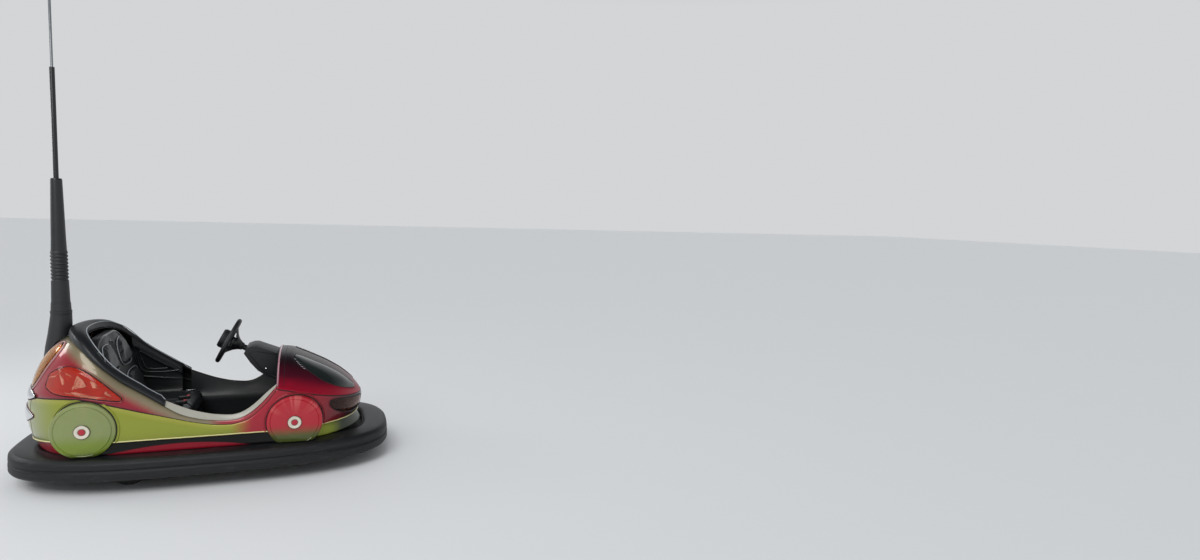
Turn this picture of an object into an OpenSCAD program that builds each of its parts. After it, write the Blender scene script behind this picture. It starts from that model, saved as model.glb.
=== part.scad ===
// Two-seat electric bumper car with a ceiling contact pole.
// Origin: on the floor under the centre of the rubber bumper. +X to the nose, +Y to the driver's left, +Z up.

/* [Bumper] */
// Length over the rubber bumper
bumper_l = 1980; // [1940:5:2020]
// Width over the rubber bumper
bumper_w = 1106; // [1080:2:1130]
// Squareness of the bumper's plan, 2 is an ellipse
bumper_n = 2.96; // [2.5:0.05:3.2]
// Depth of the rubber from its outer face to the steel band
rubber_d = 145; // [135:1:155]
// Height of the rubber
rubber_h = 121; // [112:1:128]
// Gap between the rubber and the floor
rubber_z = 76; // [70:1:90]
// Thickness of the steel band behind the rubber
band_t = 6; // [4:0.5:8]

/* [Body] */
// Rubber that shows in front of the nose
nose_show = 158; // [140:1:180]
// Rubber that shows behind the tail at the widest height of the body
tail_show = 86; // [75:1:95]
// Rubber that shows beside the body
side_show = 109; // [100:1:116]
// Height of the body's lower edge above the top of the rubber, at the doors
sill_gap = 65; // [58:1:74]
// Thickness of the moulded body panels
panel_t = 5; // [4:0.5:6]
// Inset of the skirt behind the body's lower edge
skirt_in = 13; // [9:1:16]
// Depth of the groove along the panel joints
groove_d = 4; // [2:0.5:6]
// Radius of the moulded wheel discs
disc_r = 148; // [140:1:150]
// How far the wheel discs stand out of the body side
disc_out = 24; // [20:1:28]
// Setback of the front wheel discs behind the nose
disc_front_in = 378; // [360:2:400]
// Setback of the rear wheel discs before the tail
disc_rear_in = 342; // [325:2:360]
// Height of the front wheel discs' centre
disc_front_z = 313; // [308:1:320]
// Height of the rear wheel discs' centre
disc_rear_z = 337; // [332:1:340]
// Radius of the hub caps
cap_r = 38; // [30:1:44]

/* [Cockpit] */
// Inset of the seat's clear width from the body's side
seat_in = 92; // [86:1:110]
// Height of the top of the seat cushion
seat_z = 352; // [335:1:370]
// Thickness of the seat cushion
cushion_t = 105; // [90:1:120]
// Depth of the seat cushion from its front edge to the seat back
seat_depth = 310; // [290:1:340]
// Foot of the seat back, from the tail
back_foot_in = 484; // [470:1:500]
// Lean of the seat back from upright, in degrees
back_lean = 17; // [14:0.5:19]
// Thickness of the seat back
back_t = 46; // [36:1:56]

/* [Steering] */
// Radius of the steering wheel to the middle of its rim
rim_r = 132; // [120:1:140]
// Radius of the steering wheel's rim section
rim_t = 13.5; // [12:0.5:16]
// Rise of the steering column towards the driver, in degrees
column_rise = 27.3; // [24:0.1:31]
// Rim centre behind the dash
rim_back = 296; // [288:1:304]
// Rim centre above the floor
rim_z = 701; // [690:1:720]
// Rim centre to the left of the car's middle
rim_side = 80; // [0:5:100]
// Radius of the horn pad
horn_r = 58; // [50:1:64]
// Half width of the console
console_half_w = 105; // [90:1:120]

/* [Wheels] */
// Radius of the drive wheel
drive_r = 108; // [100:1:115]
// Width of the drive wheel
drive_w = 58; // [50:1:66]
// Setback of the drive wheel's steering axis behind the nose
drive_in = 292; // [284:1:302]
// Radius of the rear wheels
rear_r = 98; // [92:1:100]
// Width of the rear wheels
rear_w = 46; // [40:1:50]
// Setback of the rear axle before the tail
rear_in = 524; // [504:2:540]
// Clearance between the rear wheels and the hoop
rear_gap = 34; // [26:1:44]
// Radius of the rear axle
axle_r = 12.5; // [10:0.5:15]
// Height of the chassis tubes
tube_h = 40; // [35:1:44]

/* [Pole] */
// Setback of the pole before the tail
pole_in = 139; // [130:1:148]
// Radius of the boot at the pole's foot
boot_r = 50; // [46:1:54]
// Height of the top of the contact shoe
pole_top = 2790; // [2700:10:2880]
// Radius of the black upper tube
tube_r = 12.5; // [11:0.5:14]
// Radius of the sliding contact rod
rod_r = 6.5; // [5:0.5:8]

/* [Hidden] */

// Clearance between two pieces that seat on each other
seat_gap = 0.3;
// Clearance under pieces that lie on the panels, wider where the panel curves more
eye_gap = 3.8;
panel_gap = 2.4;
lens_gap = 2.1;
lamp_gap = 0.95;
// Working height of the rubber's top
rubber_top = rubber_z + rubber_h;
// Height of the body's lower edge at the doors
sill_z = rubber_top + sill_gap;

// Half lengths and half width of the body at its lower edge, at its joint line, and of the skirt's foot
nose_x = bumper_l / 2 - nose_show;
tail_x = bumper_l / 2 - tail_show;
side_y = bumper_w / 2 - side_show;
sill_oval = [nose_x - 26, tail_x - 10, side_y + 4];
seam_oval = [nose_x, tail_x, side_y];
foot_oval = [nose_x - 4, tail_x - 34, side_y];
// The tables are drawn for a body with this nose and tail, and stretch with it
drawn = [832, 904];
function stretched(x) = x > 0 ? x * nose_x / drawn[0] : x * tail_x / drawn[1];
function along(x, table) = lookup(x > 0 ? x * drawn[0] / nose_x : x * drawn[1] / tail_x, table);
// The plan is an arc at the nose back to the hood's rear edge, straight beside the cockpit, and an arc at the tail
hood_x = stretched(360);
tail_start = -stretched(-450);
// Half lengths of the opening's outer and inner edges behind the seat
edge_tail = -stretched(-712);
lip_tail = -stretched(-625);
disc_front_x = nose_x - disc_front_in;
disc_rear_x = disc_rear_in - tail_x;
drive_x = nose_x - drive_in;
rear_x = rear_in - tail_x;
rear_y = bumper_w / 2 - rubber_d - band_t - rear_gap - rear_w / 2;
pole_x = pole_in - tail_x;
rim_x = hood_x - rim_back;
seat_half_w = side_y - seat_in;
back_foot_x = back_foot_in - tail_x;
seat_front_x = back_foot_x + seat_depth;

// Lower edge of the body: x, height over its height at the doors
sill_rise = [[-930, -38], [-860, -24], [-780, -8], [-690, 0], [600, 0], [720, -4], [820, -8]];
// Joint line round the body: x, height
seam_line = [[-904, 472], [-786, 486], [-685, 497], [-574, 497], [-486, 475], [-400, 448], [-300, 416],
  [-157, 375], [-61, 346], [36, 325], [136, 318], [213, 340], [265, 382], [318, 440], [360, 503], [382, 499],
  [487, 470], [620, 432], [711, 408], [770, 391], [840, 374]];
// Outer edge of the cockpit opening: x, height
edge_line = [[-720, 795], [-690, 793], [-640, 777], [-585, 742], [-531, 690], [-397, 572], [-283, 497],
  [-193, 436], [-150, 404], [-113, 382], [-15, 352], [84, 338], [150, 338], [185, 347], [230, 376],
  [264, 406], [300, 444], [343, 496], [360, 517]];
// Inset of the opening's outer edge from the body's side: x, inset
edge_in = [[-450, 42], [-300, 30], [-190, 16], [-100, 8], [360, 7]];
// Inner edge of the cockpit opening: x, height
lip_line = [[-640, 796], [-610, 790], [-590, 782], [-550, 752], [-484, 680], [-399, 609], [-314, 550],
  [-250, 505], [-190, 462], [-65, 407], [33, 378], [134, 366], [180, 376], [211, 395], [264, 438],
  [300, 476], [337, 513], [360, 527]];
// Inset of the inner edge from the outer edge: x, inset
lip_in = [[-450, 36], [-300, 34], [-193, 26], [-60, 20], [200, 20], [360, 16]];
// Thickness of the coaming pad: x, thickness
pad_rise = [[-700, 49], [-620, 46], [-560, 40], [-480, 34], [-300, 28], [-190, 24]];
// Ridge of the hood: x, height
ridge_line = [[340, 652], [454, 645], [507, 618], [626, 560], [717, 502], [779, 447], [815, 402], [840, 380]];

// Stations along the left side: turn of the nose arc, then x beside the cockpit, then turn of the tail arc
nose_turns = [0, 3, 9, 16, 24, 32, 40, 48, 56, 64, 72, 79.5, 81];
side_steps = [360, 318, 284, 248, 212, 172, 130, 84, 36, -14, -65, -118, -170, -192, -240, -290, -340, -395, -450];
tail_turns = [9, 18, 27, 36, 45, 54, 63, 72, 81, 90];
n_nose = len(nose_turns);
n_side = len(side_steps);
i_pad = n_nose + 13;
i_tail = n_nose + n_side - 1;
n_half = n_nose + n_side + len(tail_turns);
// The ring of stations runs from the nose along the left side to the tail and back along the right side
n_ring = 2 * (n_half - 1);

function mix(a, b, f) = a + (b - a) * f;
function half_index(i) = let (k = (i + n_ring) % n_ring) k < n_half ? k : n_ring - k;
function side_of(i) = (i + n_ring) % n_ring < n_half ? 1 : -1;
function at_side(i, p) = [p[0], side_of(i) * p[1]];
// Plan of an oval [nose, tail, half width] at a station of the left side
function plan_left(k, oval) =
  k < n_nose ? [hood_x + (oval[0] - hood_x) * cos(nose_turns[k]), oval[2] * pow(sin(nose_turns[k]), 1.06)]
  : k <= i_tail ? [stretched(side_steps[k - n_nose]), oval[2]]
  : let (t = tail_turns[k - i_tail - 1]) [-tail_start - (oval[1] - tail_start) * sin(t), oval[2] * cos(t)];
function plan(i, oval) = at_side(i, plan_left(half_index(i), oval));
// Unit vector into the body at a station
function inward(i) = let (k = half_index(i), d = plan_left(min(k + 1, n_half - 1), seam_oval)
    - plan_left(max(k - 1, 0), seam_oval), u = d / norm(d))
  k == 0 ? [-1, 0] : k == n_half - 1 ? [1, 0] : at_side(i, [-u[1], u[0]]);
// A point moved into the body and up
function shift(i, p, into, up = 0) = let (q = inward(i)) [p[0] + q[0] * into, p[1] + q[1] * into, p[2] + up];

// Closed solid through sections whose first half is one face and whose second half runs back along the other
module skin(sections, closed = false) {
  n = len(sections);
  m = len(sections[0]);
  sides = [for (i = [0 : closed ? n - 1 : n - 2], j = [0 : m - 1]) let (
    a = i * m + j, b = i * m + (j + 1) % m, c = ((i + 1) % n) * m + (j + 1) % m, d = ((i + 1) % n) * m + j)
    each [[a, b, c], [a, c, d]]];
  ends = closed ? [] : [for (e = [0, n - 1], j = [0 : m / 2 - 2]) let (
    a = e * m + j, b = e * m + j + 1, c = e * m + m - 2 - j, d = e * m + m - 1 - j)
    each e == 0 ? [[a, c, b], [a, d, c]] : [[a, b, c], [a, c, d]]];
  polyhedron(points = [for (s = sections) each s], faces = concat(sides, ends), convexity = 12);
}
function wall(outer, inner) = concat(outer, [for (k = [len(inner) - 1 : -1 : 0]) inner[k]]);
module both_sides() { children(); mirror([0, 1, 0]) children(); }

// Rows of the lower body: share of the height, share of the swelling
lower_rows = [[0, 0], [0.06, 0.25], [0.25, 0.75], [0.5, 1], [0.75, 0.85], [0.93, 0.3]];
lower_swell = [[-930, 26], [-800, 18], [-600, 4], [600, 4], [840, 12]];
function sill_height(x) = sill_z + along(x, sill_rise);
function seam_point(i) = let (p = plan(i, seam_oval)) [p[0], p[1], along(p[0], seam_line)];
function sill_point(i) = let (p = plan(i, sill_oval)) [p[0], p[1], sill_height(p[0])];
function lower_point(i, f) = let (p = mix(sill_point(i), seam_point(i), f))
  shift(i, p, -along(p[0], lower_swell) * lookup(f, lower_rows));
function lower_section(i, grow, thick) = let (
    rows = concat([for (r = lower_rows) shift(i, lower_point(i, r[0]), -grow)],
      [shift(i, seam_point(i), groove_d - grow, -seat_gap / 2)]),
    lip = 16)
  wall(concat([shift(i, sill_point(i), lip - grow)], rows),
    concat([shift(i, sill_point(i), lip - grow, thick)], [shift(i, sill_point(i), thick - grow, thick)],
      [for (k = [1 : len(rows) - 1]) shift(i, rows[k], thick)]));

// Rows of the upper body: share of the height, share of the way in to the opening's edge
upper_rows = [[0, 0], [0.05, 0.01], [0.33, 0.16], [0.62, 0.36], [0.85, 0.64], [1, 1]];
function edge_point(i) = let (k = half_index(i), x = k <= i_tail ? plan_left(k, seam_oval)[0] : -tail_start,
    p = plan(i, [hood_x, edge_tail, side_y - along(x, edge_in)]))
  [k < n_nose ? hood_x : p[0], p[1], along(p[0], edge_line)];
function lip_point(i) = let (k = half_index(i), x = k <= i_tail ? plan_left(k, seam_oval)[0] : -tail_start,
    p = plan(i, [hood_x, lip_tail, side_y - along(x, edge_in) - along(x, lip_in)]))
  [p[0], p[1], along(p[0], lip_line)];
function upper_point(i, f) = let (a = seam_point(i), b = edge_point(i), p = mix(a, b, lookup(f, upper_rows)))
  [p[0], p[1], mix(a[2], b[2], f)];
function upper_section(i, grow, thick) = let (
    rows = concat([shift(i, seam_point(i), groove_d - grow, seat_gap / 2)],
      [for (k = [1 : len(upper_rows) - 1]) shift(i, upper_point(i, upper_rows[k][0]), -grow)]))
  wall(concat(rows, [shift(i, lip_point(i), 0, grow)]),
    concat([for (r = [0 : len(rows) - 2]) shift(i, rows[r], thick)],
      [shift(i, edge_point(i), thick, -thick)], [shift(i, lip_point(i), 0, -thick)]));

// Outward normal of the opening's flange at a station, and a point over the flange
function flange_normal(i) = let (d = lip_point(i) - edge_point(i), q = inward(i), u = d[0] * q[0] + d[1] * q[1],
    l = norm([u, d[2]])) [-q[0] * d[2] / l, -q[1] * d[2] / l, u / l];
function over_flange(i, f, h) = mix(edge_point(i), lip_point(i), f) + flange_normal(i) * h;
module flange_cover(first, last, shape, rise, under) {
  skin([for (i = [first : last]) let (h = along(plan(i, seam_oval)[0] * edge_tail / tail_x, rise))
    wall([for (r = shape) over_flange(i, r[0], h * r[1])], [for (r = shape) over_flange(i, r[0], under)])]);
}

// Sections across the hood: share of the half width, share of the rise to the ridge
hood_rows = [[1, 0], [0.985, 0.07], [0.93, 0.15], [0.84, 0.27], [0.76, 0.45], [0.67, 0.66], [0.55, 0.82],
  [0.38, 0.935], [0.19, 0.985], [0, 1]];
hood_back = 0.965;
// Rise of the cowl band along the hood's rear edge, at the ridge
cowl_rise = 8;
function cowl_at(i, share) = i < n_nose - 1 ? 0 : cowl_rise * lookup(share, [[0.07, 0], [0.45, 0.5], [1, 1]]);
function hood_ridge(i) = let (e = seam_point(i), x = mix(hood_x, e[0], hood_back)) [x, 0, along(x, ridge_line)];
function hood_point(i, r) = let (e = seam_point(i), t = hood_ridge(i))
  [mix(e[0], t[0], r[1]), e[1] * r[0], mix(e[2], t[2], r[1]) + (r[1] == 0 ? seat_gap / 2 : 0)];
function hood_half(i, thick) = [for (k = [0 : len(hood_rows) - 1]) let (r = hood_rows[k],
    p = shift(i, hood_point(i, r), (k == 0 ? groove_d : 0) + (thick - cowl_at(i, r[1])) * (1 - r[1]),
      (cowl_at(i, r[1]) - thick) * r[1]))
    p + (i == n_nose ? [seat_gap, 0, 0] : [0, 0, 0])];
function hood_line(i, thick) = concat(hood_half(i, thick),
  [for (k = [len(hood_rows) - 2 : -1 : 0]) let (p = hood_half(i, thick)[k]) [p[0], -p[1], p[2]]]);

// Shaped covers that lie on a panel: each row of a table is a station, the shares where the cover starts and ends, and its rise
function on_panel(kind, u, f) = let (a = floor(u), b = ceil(u), g = u - a)
  kind == "lower" ? mix(lower_point(a, f), lower_point(b, f), g)
  : kind == "joint" ? mix(joint_at(a, f), joint_at(b, f), g)
  : kind == "upper" ? mix(upper_point(a, f), upper_point(b, f), g)
  : mix(hood_at(a, f), hood_at(b, f), g);
// Share below 0 is on the lower body, above 0 on the upper body
function joint_at(i, f) = f < 0 ? lower_point(i, 1 + f) : upper_point(i, f) + [lower_point(i, 1)[0] - seam_point(i)[0], 0, 0];
function hood_at(i, f) = let (n = len(hood_rows) - 1, k = min(floor(f * n), n - 1), g = f * n - k)
  mix(hood_point(i, hood_rows[k]), hood_point(i, hood_rows[k + 1]), g);
cover_shape = [[0, 0.2], [0.12, 0.7], [0.3, 0.93], [0.5, 1], [0.7, 0.93], [0.88, 0.7], [1, 0.2]];
function cover_section(kind, row, gap) = let (lo = on_panel(kind, row[0], row[1]), hi = on_panel(kind, row[0], row[2]),
    d = hi - lo, q = inward(round(row[0])), u = d[0] * q[0] + d[1] * q[1], l = max(norm([u, d[2]]), 0.1),
    n = [-q[0] * d[2] / l, -q[1] * d[2] / l, u / l])
  wall([for (s = cover_shape) on_panel(kind, row[0], mix(row[1], row[2], s[0])) + n * (gap + row[3] * s[1])],
    [for (s = cover_shape) on_panel(kind, row[0], mix(row[1], row[2], s[0])) + n * gap]);
module panel_cover(kind, table, gap = panel_gap) { skin([for (row = table) cover_section(kind, row, gap)]); }
// The same cover on the left and on the right
module panel_pair(kind, table, gap = panel_gap) {
  panel_cover(kind, table, gap);
  panel_cover(kind, [for (k = [len(table) - 1 : -1 : 0]) let (row = table[k])
    [n_ring - row[0], row[1], row[2], row[3]]], gap);
}
// Plan of the bumper and of the rings inside it
function oval_point(t, inset) = let (a = bumper_l / 2, b = bumper_w / 2, c = cos(t), s = sin(t),
    p = [a * sign(c) * pow(abs(c), 2 / bumper_n), b * sign(s) * pow(abs(s), 2 / bumper_n)],
    g = [sign(c) * pow(abs(c), 2 - 2 / bumper_n) / a, sign(s) * pow(abs(s), 2 - 2 / bumper_n) / b])
  p - g / norm(g) * inset;
oval_turns = [for (k = [0 : 87]) k * 360 / 88];
function oval_outline(inset) = [for (t = oval_turns) oval_point(t, inset)];
module oval_plate(inset, z, h) { translate([0, 0, z]) linear_extrude(h) polygon(oval_outline(inset)); }

// Section of the rubber: inset from the outer face, height; the outer half runs up, the inner half runs down
rubber_outer = [[30, 0], [8, 6], [0, 18], [0, 52], [7, 58], [7, 64], [1, 70], [3, 98], [22, 114]];
module bumper_ring() {
  inner = [[100, 4], [rubber_d, 12], [rubber_d, rubber_h], [58, rubber_h - 2]];
  color("#2b2b2d") skin([for (t = oval_turns) wall(
    [for (p = rubber_outer) concat(oval_point(t, p[0]), rubber_z + p[1])],
    [for (p = inner) concat(oval_point(t, p[0]), rubber_z + p[1])])], closed = true);
}

// Steel hoop that the rubber is stretched over
band_z = rubber_z + 28;
band_h = rubber_h - 38;
module bumper_band() {
  color("#3a3c3f") difference() {
    oval_plate(rubber_d + seat_gap, band_z, band_h);
    oval_plate(rubber_d + seat_gap + band_t, band_z - 1, band_h + 2);
  }
}

// Steel floor, with a round opening for the steering head and a slot for each rear wheel
pan_z = rubber_top - 46;
pan_t = 3;
pan_top = pan_z + pan_t;
bearing_r = drive_r + 32;
module floor_pan() {
  color("#45484b") difference() {
    oval_plate(rubber_d + band_t + 2 * seat_gap, pan_z, pan_t);
    translate([drive_x, 0, pan_z - 1]) cylinder(r = bearing_r + 12, h = pan_t + 2, $fn = 96);
    both_sides() translate([rear_x - rear_r - 14, rear_y - rear_w / 2 - 10, pan_z - 1])
      cube([2 * rear_r + 28, rear_w + 20, pan_t + 2]);
  }
}

// Welded square tubes under the floor
rail_y = 205;
tube_z = pan_z - seat_gap - tube_h;
cross_x = [290 - bumper_l / 2, rear_x - rear_r - 70, rear_x + rear_r + 40, drive_x - bearing_r - 60, drive_x + bearing_r + 18];
function pan_half(x) = (bumper_w / 2 - rubber_d - band_t - 2)
  * pow(1 - pow(abs(x) / (bumper_l / 2 - rubber_d - band_t), bumper_n), 1 / bumper_n);
module chassis_frame() {
  color("#5a1f1f") {
    for (x = cross_x) translate([x, -pan_half(abs(x) + tube_h) + 6, tube_z])
      cube([tube_h, 2 * pan_half(abs(x) + tube_h) - 12, tube_h]);
    both_sides() translate([cross_x[0], rail_y, tube_z]) cube([cross_x[4] - cross_x[0], tube_h, tube_h]);
  }
}

// Painted skirt between the rubber and the body
module apron() {
  skirt_t = 4;
  color("#8e1f2e") skin([for (i = [0 : n_ring - 1]) let (face = skirt_face(i))
    wall(face, [for (v = face) shift(i, v, skirt_t)])], closed = true);
}
function skirt_face(i) = let (p = plan(i, foot_oval), top = shift(i, sill_point(i), skirt_in, -seat_gap),
    foot = [p[0], p[1], rubber_top + seat_gap]) [foot, shift(i, mix(foot, top, 0.35), -3), top];

module lower_wall(grow, thick) { skin([for (i = [0 : n_ring - 1]) lower_section(i, grow, thick)], closed = true); }
module upper_wall(grow, thick) { skin([for (i = [n_nose : n_ring - n_nose]) upper_section(i, grow, thick)]); }
module body_lower() { color("#9aa532") lower_wall(0, panel_t); }
module body_upper() { color("#b3263a") upper_wall(0, panel_t); }
module hood() {
  color("#6d1628") skin([for (i = [1 : n_nose]) wall(hood_line(i, 0), hood_line(i, panel_t))]);
}

// Dark window-like panels on the hood's flanks
module hood_panels() {
  table = [[3.9, 0.46, 0.64, 1.5], [5, 0.41, 0.74, 3], [6, 0.39, 0.79, 3], [7, 0.4, 0.82, 3], [8, 0.44, 0.83, 3],
    [9, 0.51, 0.84, 3], [10, 0.61, 0.85, 3], [10.6, 0.7, 0.85, 2.5], [10.9, 0.77, 0.84, 1.5]];
  color("#2c302f") both_sides() panel_cover("hood", table);
}
module headlamps() {
  table = [[2.2, 0.3, 0.86, 2], [3, 0.25, 0.9, 5], [4, 0.25, 0.9, 6], [5, 0.28, 0.9, 6], [6, 0.34, 0.9, 6],
    [7, 0.46, 0.88, 5], [7.6, 0.66, 0.82, 2]];
  color("#4a2c22") panel_pair("lower", table, lamp_gap);
}
module side_lenses() {
  table = [[i_tail - 1.1, 0.3, 0.44, 1.5], [i_tail, 0.16, 0.6, 5], [i_tail + 1, 0.11, 0.73, 7],
    [i_tail + 2, 0.08, 0.77, 8], [i_tail + 3, 0.08, 0.74, 8], [i_tail + 4, 0.1, 0.65, 7], [i_tail + 5, 0.22, 0.46, 2]];
  color("#d8421c") panel_pair("upper", table, lens_gap);
}
// Upright eye-shaped lamps beside the pole, leaning forward to the top
module tail_lamps() {
  steps = 10;
  start = 5.6;
  span = 2.7;
  function middle(t) = 0.79 - 0.5 * t;
  function half(t) = max(0.34 * pow(sin(180 * t), 0.6), 0.06);
  color("#b06a22") panel_pair("upper", [for (k = [0 : steps]) let (t = k / steps)
    [i_tail + start + span * t, middle(t) - half(t), middle(t) + half(t), 2 + 5 * sin(180 * t)]], eye_gap);
}
// Two bright bars across the tail, pointed at both ends: panel, middle share, full height as a share
module tail_bars() {
  // Share of the full height, from the middle of the tail to the pointed end
  shape = [0.8, 0.95, 1, 0.66, 0.1];
  color("#c9ccd0") for (bar = [["joint", 0.03, 0.26], ["lower", 0.6, 0.36]]) panel_cover(bar[0],
    [for (k = [-4 : 4]) let (h = shape[abs(k)] * bar[2] / 2) [n_half - 1 + k, bar[1] - h, bar[1] + h,
      abs(k) == 4 ? 2 : 7]], lamp_gap);
}

// Moulded wheel discs: a drum with a domed and grooved face, cut to the panels behind it and over the rubber
disc_face = [[0, 0], [cap_r + 4, 0], [disc_r - 60, -1], [disc_r - 22, -6], [disc_r - 19, -9], [disc_r - 16, -7],
  [disc_r - 3, -11], [disc_r, -15]];
disc_y = side_y + disc_out;
disc_depth = 92;
disc_clear = 3;
module wheel_disc(side, x, z, stations) {
  wall_t = 4;
  first = side > 0 ? stations[0] : n_ring - stations[1];
  last = side > 0 ? stations[1] : n_ring - stations[0];
  difference() {
    translate([x, side * disc_y, z]) rotate([-side * 90, 0, 0]) rotate_extrude($fn = 96) polygon(concat(disc_face,
      [[disc_r, -disc_depth], [disc_r - wall_t, -disc_depth], [disc_r - wall_t, -18], [disc_r - 22, -13], [0, -6]]));
    behind_body(first, last);
    behind_skirt(first, last);
    translate([x - 2 * disc_r, side * disc_y - 2 * disc_depth, 0])
      cube([4 * disc_r, 4 * disc_depth, rubber_top + disc_clear]);
  }
}
// Space behind the faces of the lower body and of the skirt, from one station to another
module behind_body(first, last) {
  skin([for (i = [first : last]) let (
      rows = [for (r = lower_rows) shift(i, lower_point(i, r[0]), -seat_gap, r[0] == 0 ? -seat_gap : 0)],
      all_rows = concat([shift(i, rows[0], skirt_in)], rows, [shift(i, seam_point(i), -seat_gap, 20)]))
    wall(all_rows, [for (v = all_rows) shift(i, v, disc_depth)])]);
}
module behind_skirt(first, last) {
  skin([for (i = [first : last]) let (face = skirt_face(i),
      rows = concat([shift(i, face[0], 0, -20)], face, [shift(i, face[2], 0, 2)]))
    wall([for (v = rows) shift(i, v, -seat_gap)], [for (v = rows) shift(i, v, disc_depth - skirt_in)])]);
}
module wheel_discs_front() {
  color("#a8242f") for (side = [1, -1]) wheel_disc(side, disc_front_x, disc_front_z, [6, n_nose + 3]);
}
module wheel_discs_rear() {
  color("#9aa532") for (side = [1, -1]) wheel_disc(side, disc_rear_x, disc_rear_z, [n_nose + 15, i_tail + 6]);
}
module hub_caps() {
  color("#e8e4d4") both_sides()
    for (p = [[disc_front_x, disc_front_z], [disc_rear_x, disc_rear_z]])
    translate([p[0], disc_y + seat_gap, p[1]]) rotate([90, 0, 0]) mirror([0, 0, 1]) rotate_extrude($fn = 64)
      polygon([[0, 0], [cap_r, 0], [cap_r, 3], [cap_r - 4, 6], [cap_r - 16, 5], [cap_r - 18, 3], [cap_r - 20, 4], [0, 8]]);
}

// Light moulded trim along the doors, and the padded coaming round the seat
trim_gap = 3.4;
trim_rise = [[-1000, 6.5], [1000, 6.5]];
module door_trim() {
  shape = [[0.06, 0.6], [0.2, 0.95], [0.5, 1], [0.8, 0.95], [0.96, 0.6]];
  color("#b9b4a6") {
    flange_cover(n_nose, i_pad, shape, trim_rise, trim_gap);
    flange_cover(n_ring - i_pad, n_ring - n_nose, shape, trim_rise, trim_gap);
  }
}
module coaming_pad() {
  shape = [[0, 0.5], [0.08, 0.82], [0.3, 1], [0.7, 1], [0.95, 0.8], [1, 0.45]];
  color("#202224") translate([-0.4, 0, 0]) flange_cover(i_pad, n_ring - i_pad, shape, pad_rise, panel_gap);
}

// Black moulded side walls of the cockpit: one beside the seat, with a pocket, and one behind the door's edge
liner_y = seat_half_w + 1;
door_liner_y = liner_y + 22;
liner_t = 4;
ledge_z = 300;
module liner_panel(first, last, beside_seat) {
  skin([for (i = [first : last]) let (p = lip_point(i), rows = beside_seat ? seat_liner_rows(p) : door_liner_rows(p))
    wall([for (r = rows) [p[0], side_of(i) * r[0], r[1]]], [for (r = rows) [p[0], side_of(i) * (r[0] + liner_t), r[1]]])]);
}
// Rows from the top down: distance from the middle of the car, height
function liner_top(p) = [[abs(p[1]) - liner_t, p[2] - panel_t - seat_gap], [abs(p[1]) - liner_t - 4, p[2] - panel_t - 26]];
function door_liner_rows(p) = concat(liner_top(p), [[door_liner_y + 18, ledge_z + 8],
  [door_liner_y, ledge_z - 10], [door_liner_y + 2 - p[0] / 200, pan_top + seat_gap]]);
function seat_liner_rows(p) = let (top = liner_top(p), foot = ledge_z + 40, pocket_d = 9,
    edge = max(top[1][1] - 26, foot + 20), deep = edge - foot > 30 ? pocket_d : 0.5,
    slope = (top[1][0] - liner_y - 14) / (top[1][1] - ledge_z - 8),
    face = function(z, depth) [liner_y + 14 + (z - ledge_z - 8) * slope + depth, z])
  concat(top, [face(edge + 4, 0), face(edge - 6, deep), face(foot + 6, deep), face(foot - 4, 0),
    [liner_y + 14, ledge_z + 8], [liner_y, ledge_z - 10], [liner_y + 1 - p[0] / 400, 2 * rear_r + 26]]);
module side_liners() {
  color("#1d1f20") {
    liner_panel(n_nose, i_pad, false);
    liner_panel(i_pad + 1, i_tail + 2, true);
    liner_panel(n_ring - i_tail - 2, n_ring - i_pad - 1, true);
    liner_panel(n_ring - i_pad, n_ring - n_nose, false);
  }
}

// Bulkhead under the hood's rear edge, and the console that carries the column
dash_x = hood_x - 6;
module dash_panel() {
  half = abs(lip_point(n_nose)[1]) - liner_t - 5;
  arch = [for (p = hood_line(n_nose, panel_t + seat_gap)) [sign(p[1]) * min(0.985 * abs(p[1]), half), p[2]]];
  color("#1b1c1d") translate([dash_x, 0, 0]) rotate([90, 0, 90]) linear_extrude(4)
    polygon(concat(arch,
      [for (p = [[-1, 470], [-1, pan_top + seat_gap], [1, pan_top + seat_gap], [1, 470]]) [p[0] * (door_liner_y - 8), p[1]]]));
}
axis_tilt = 90 - column_rise;
module on_column(from) {
  translate([rim_x, rim_side, rim_z]) rotate([0, -axis_tilt, 0]) translate([0, 0, from]) children();
}
module console() {
  // Outline, from the rim's centre: along the car, height
  mouth = [[162, -24], [137, -24], [104, -36], [92, -66], [128, -124], [168, -174], [222, -214]];
  outline = concat([[dash_x - seat_gap, rim_z - 76]], [for (p = mouth) [rim_x + p[0], rim_z + p[1]]],
    [[dash_x - seat_gap, rim_z - 244]]);
  color("#232527") difference() {
    translate([0, rim_side + console_half_w, 0]) rotate([90, 0, 0]) linear_extrude(2 * console_half_w) polygon(outline);
    on_column(-200) cylinder(r = 17 + seat_gap, h = 150, $fn = 48);
  }
}
module column_tube() {
  tube_l = 190 + hub_z - 2;
  color("#2a2c2e") on_column(-190) difference() {
    cylinder(r = 17, h = tube_l, $fn = 48);
    translate([0, 0, -1]) cylinder(r = 10.3, h = tube_l + 2, $fn = 48);
  }
}

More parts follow.
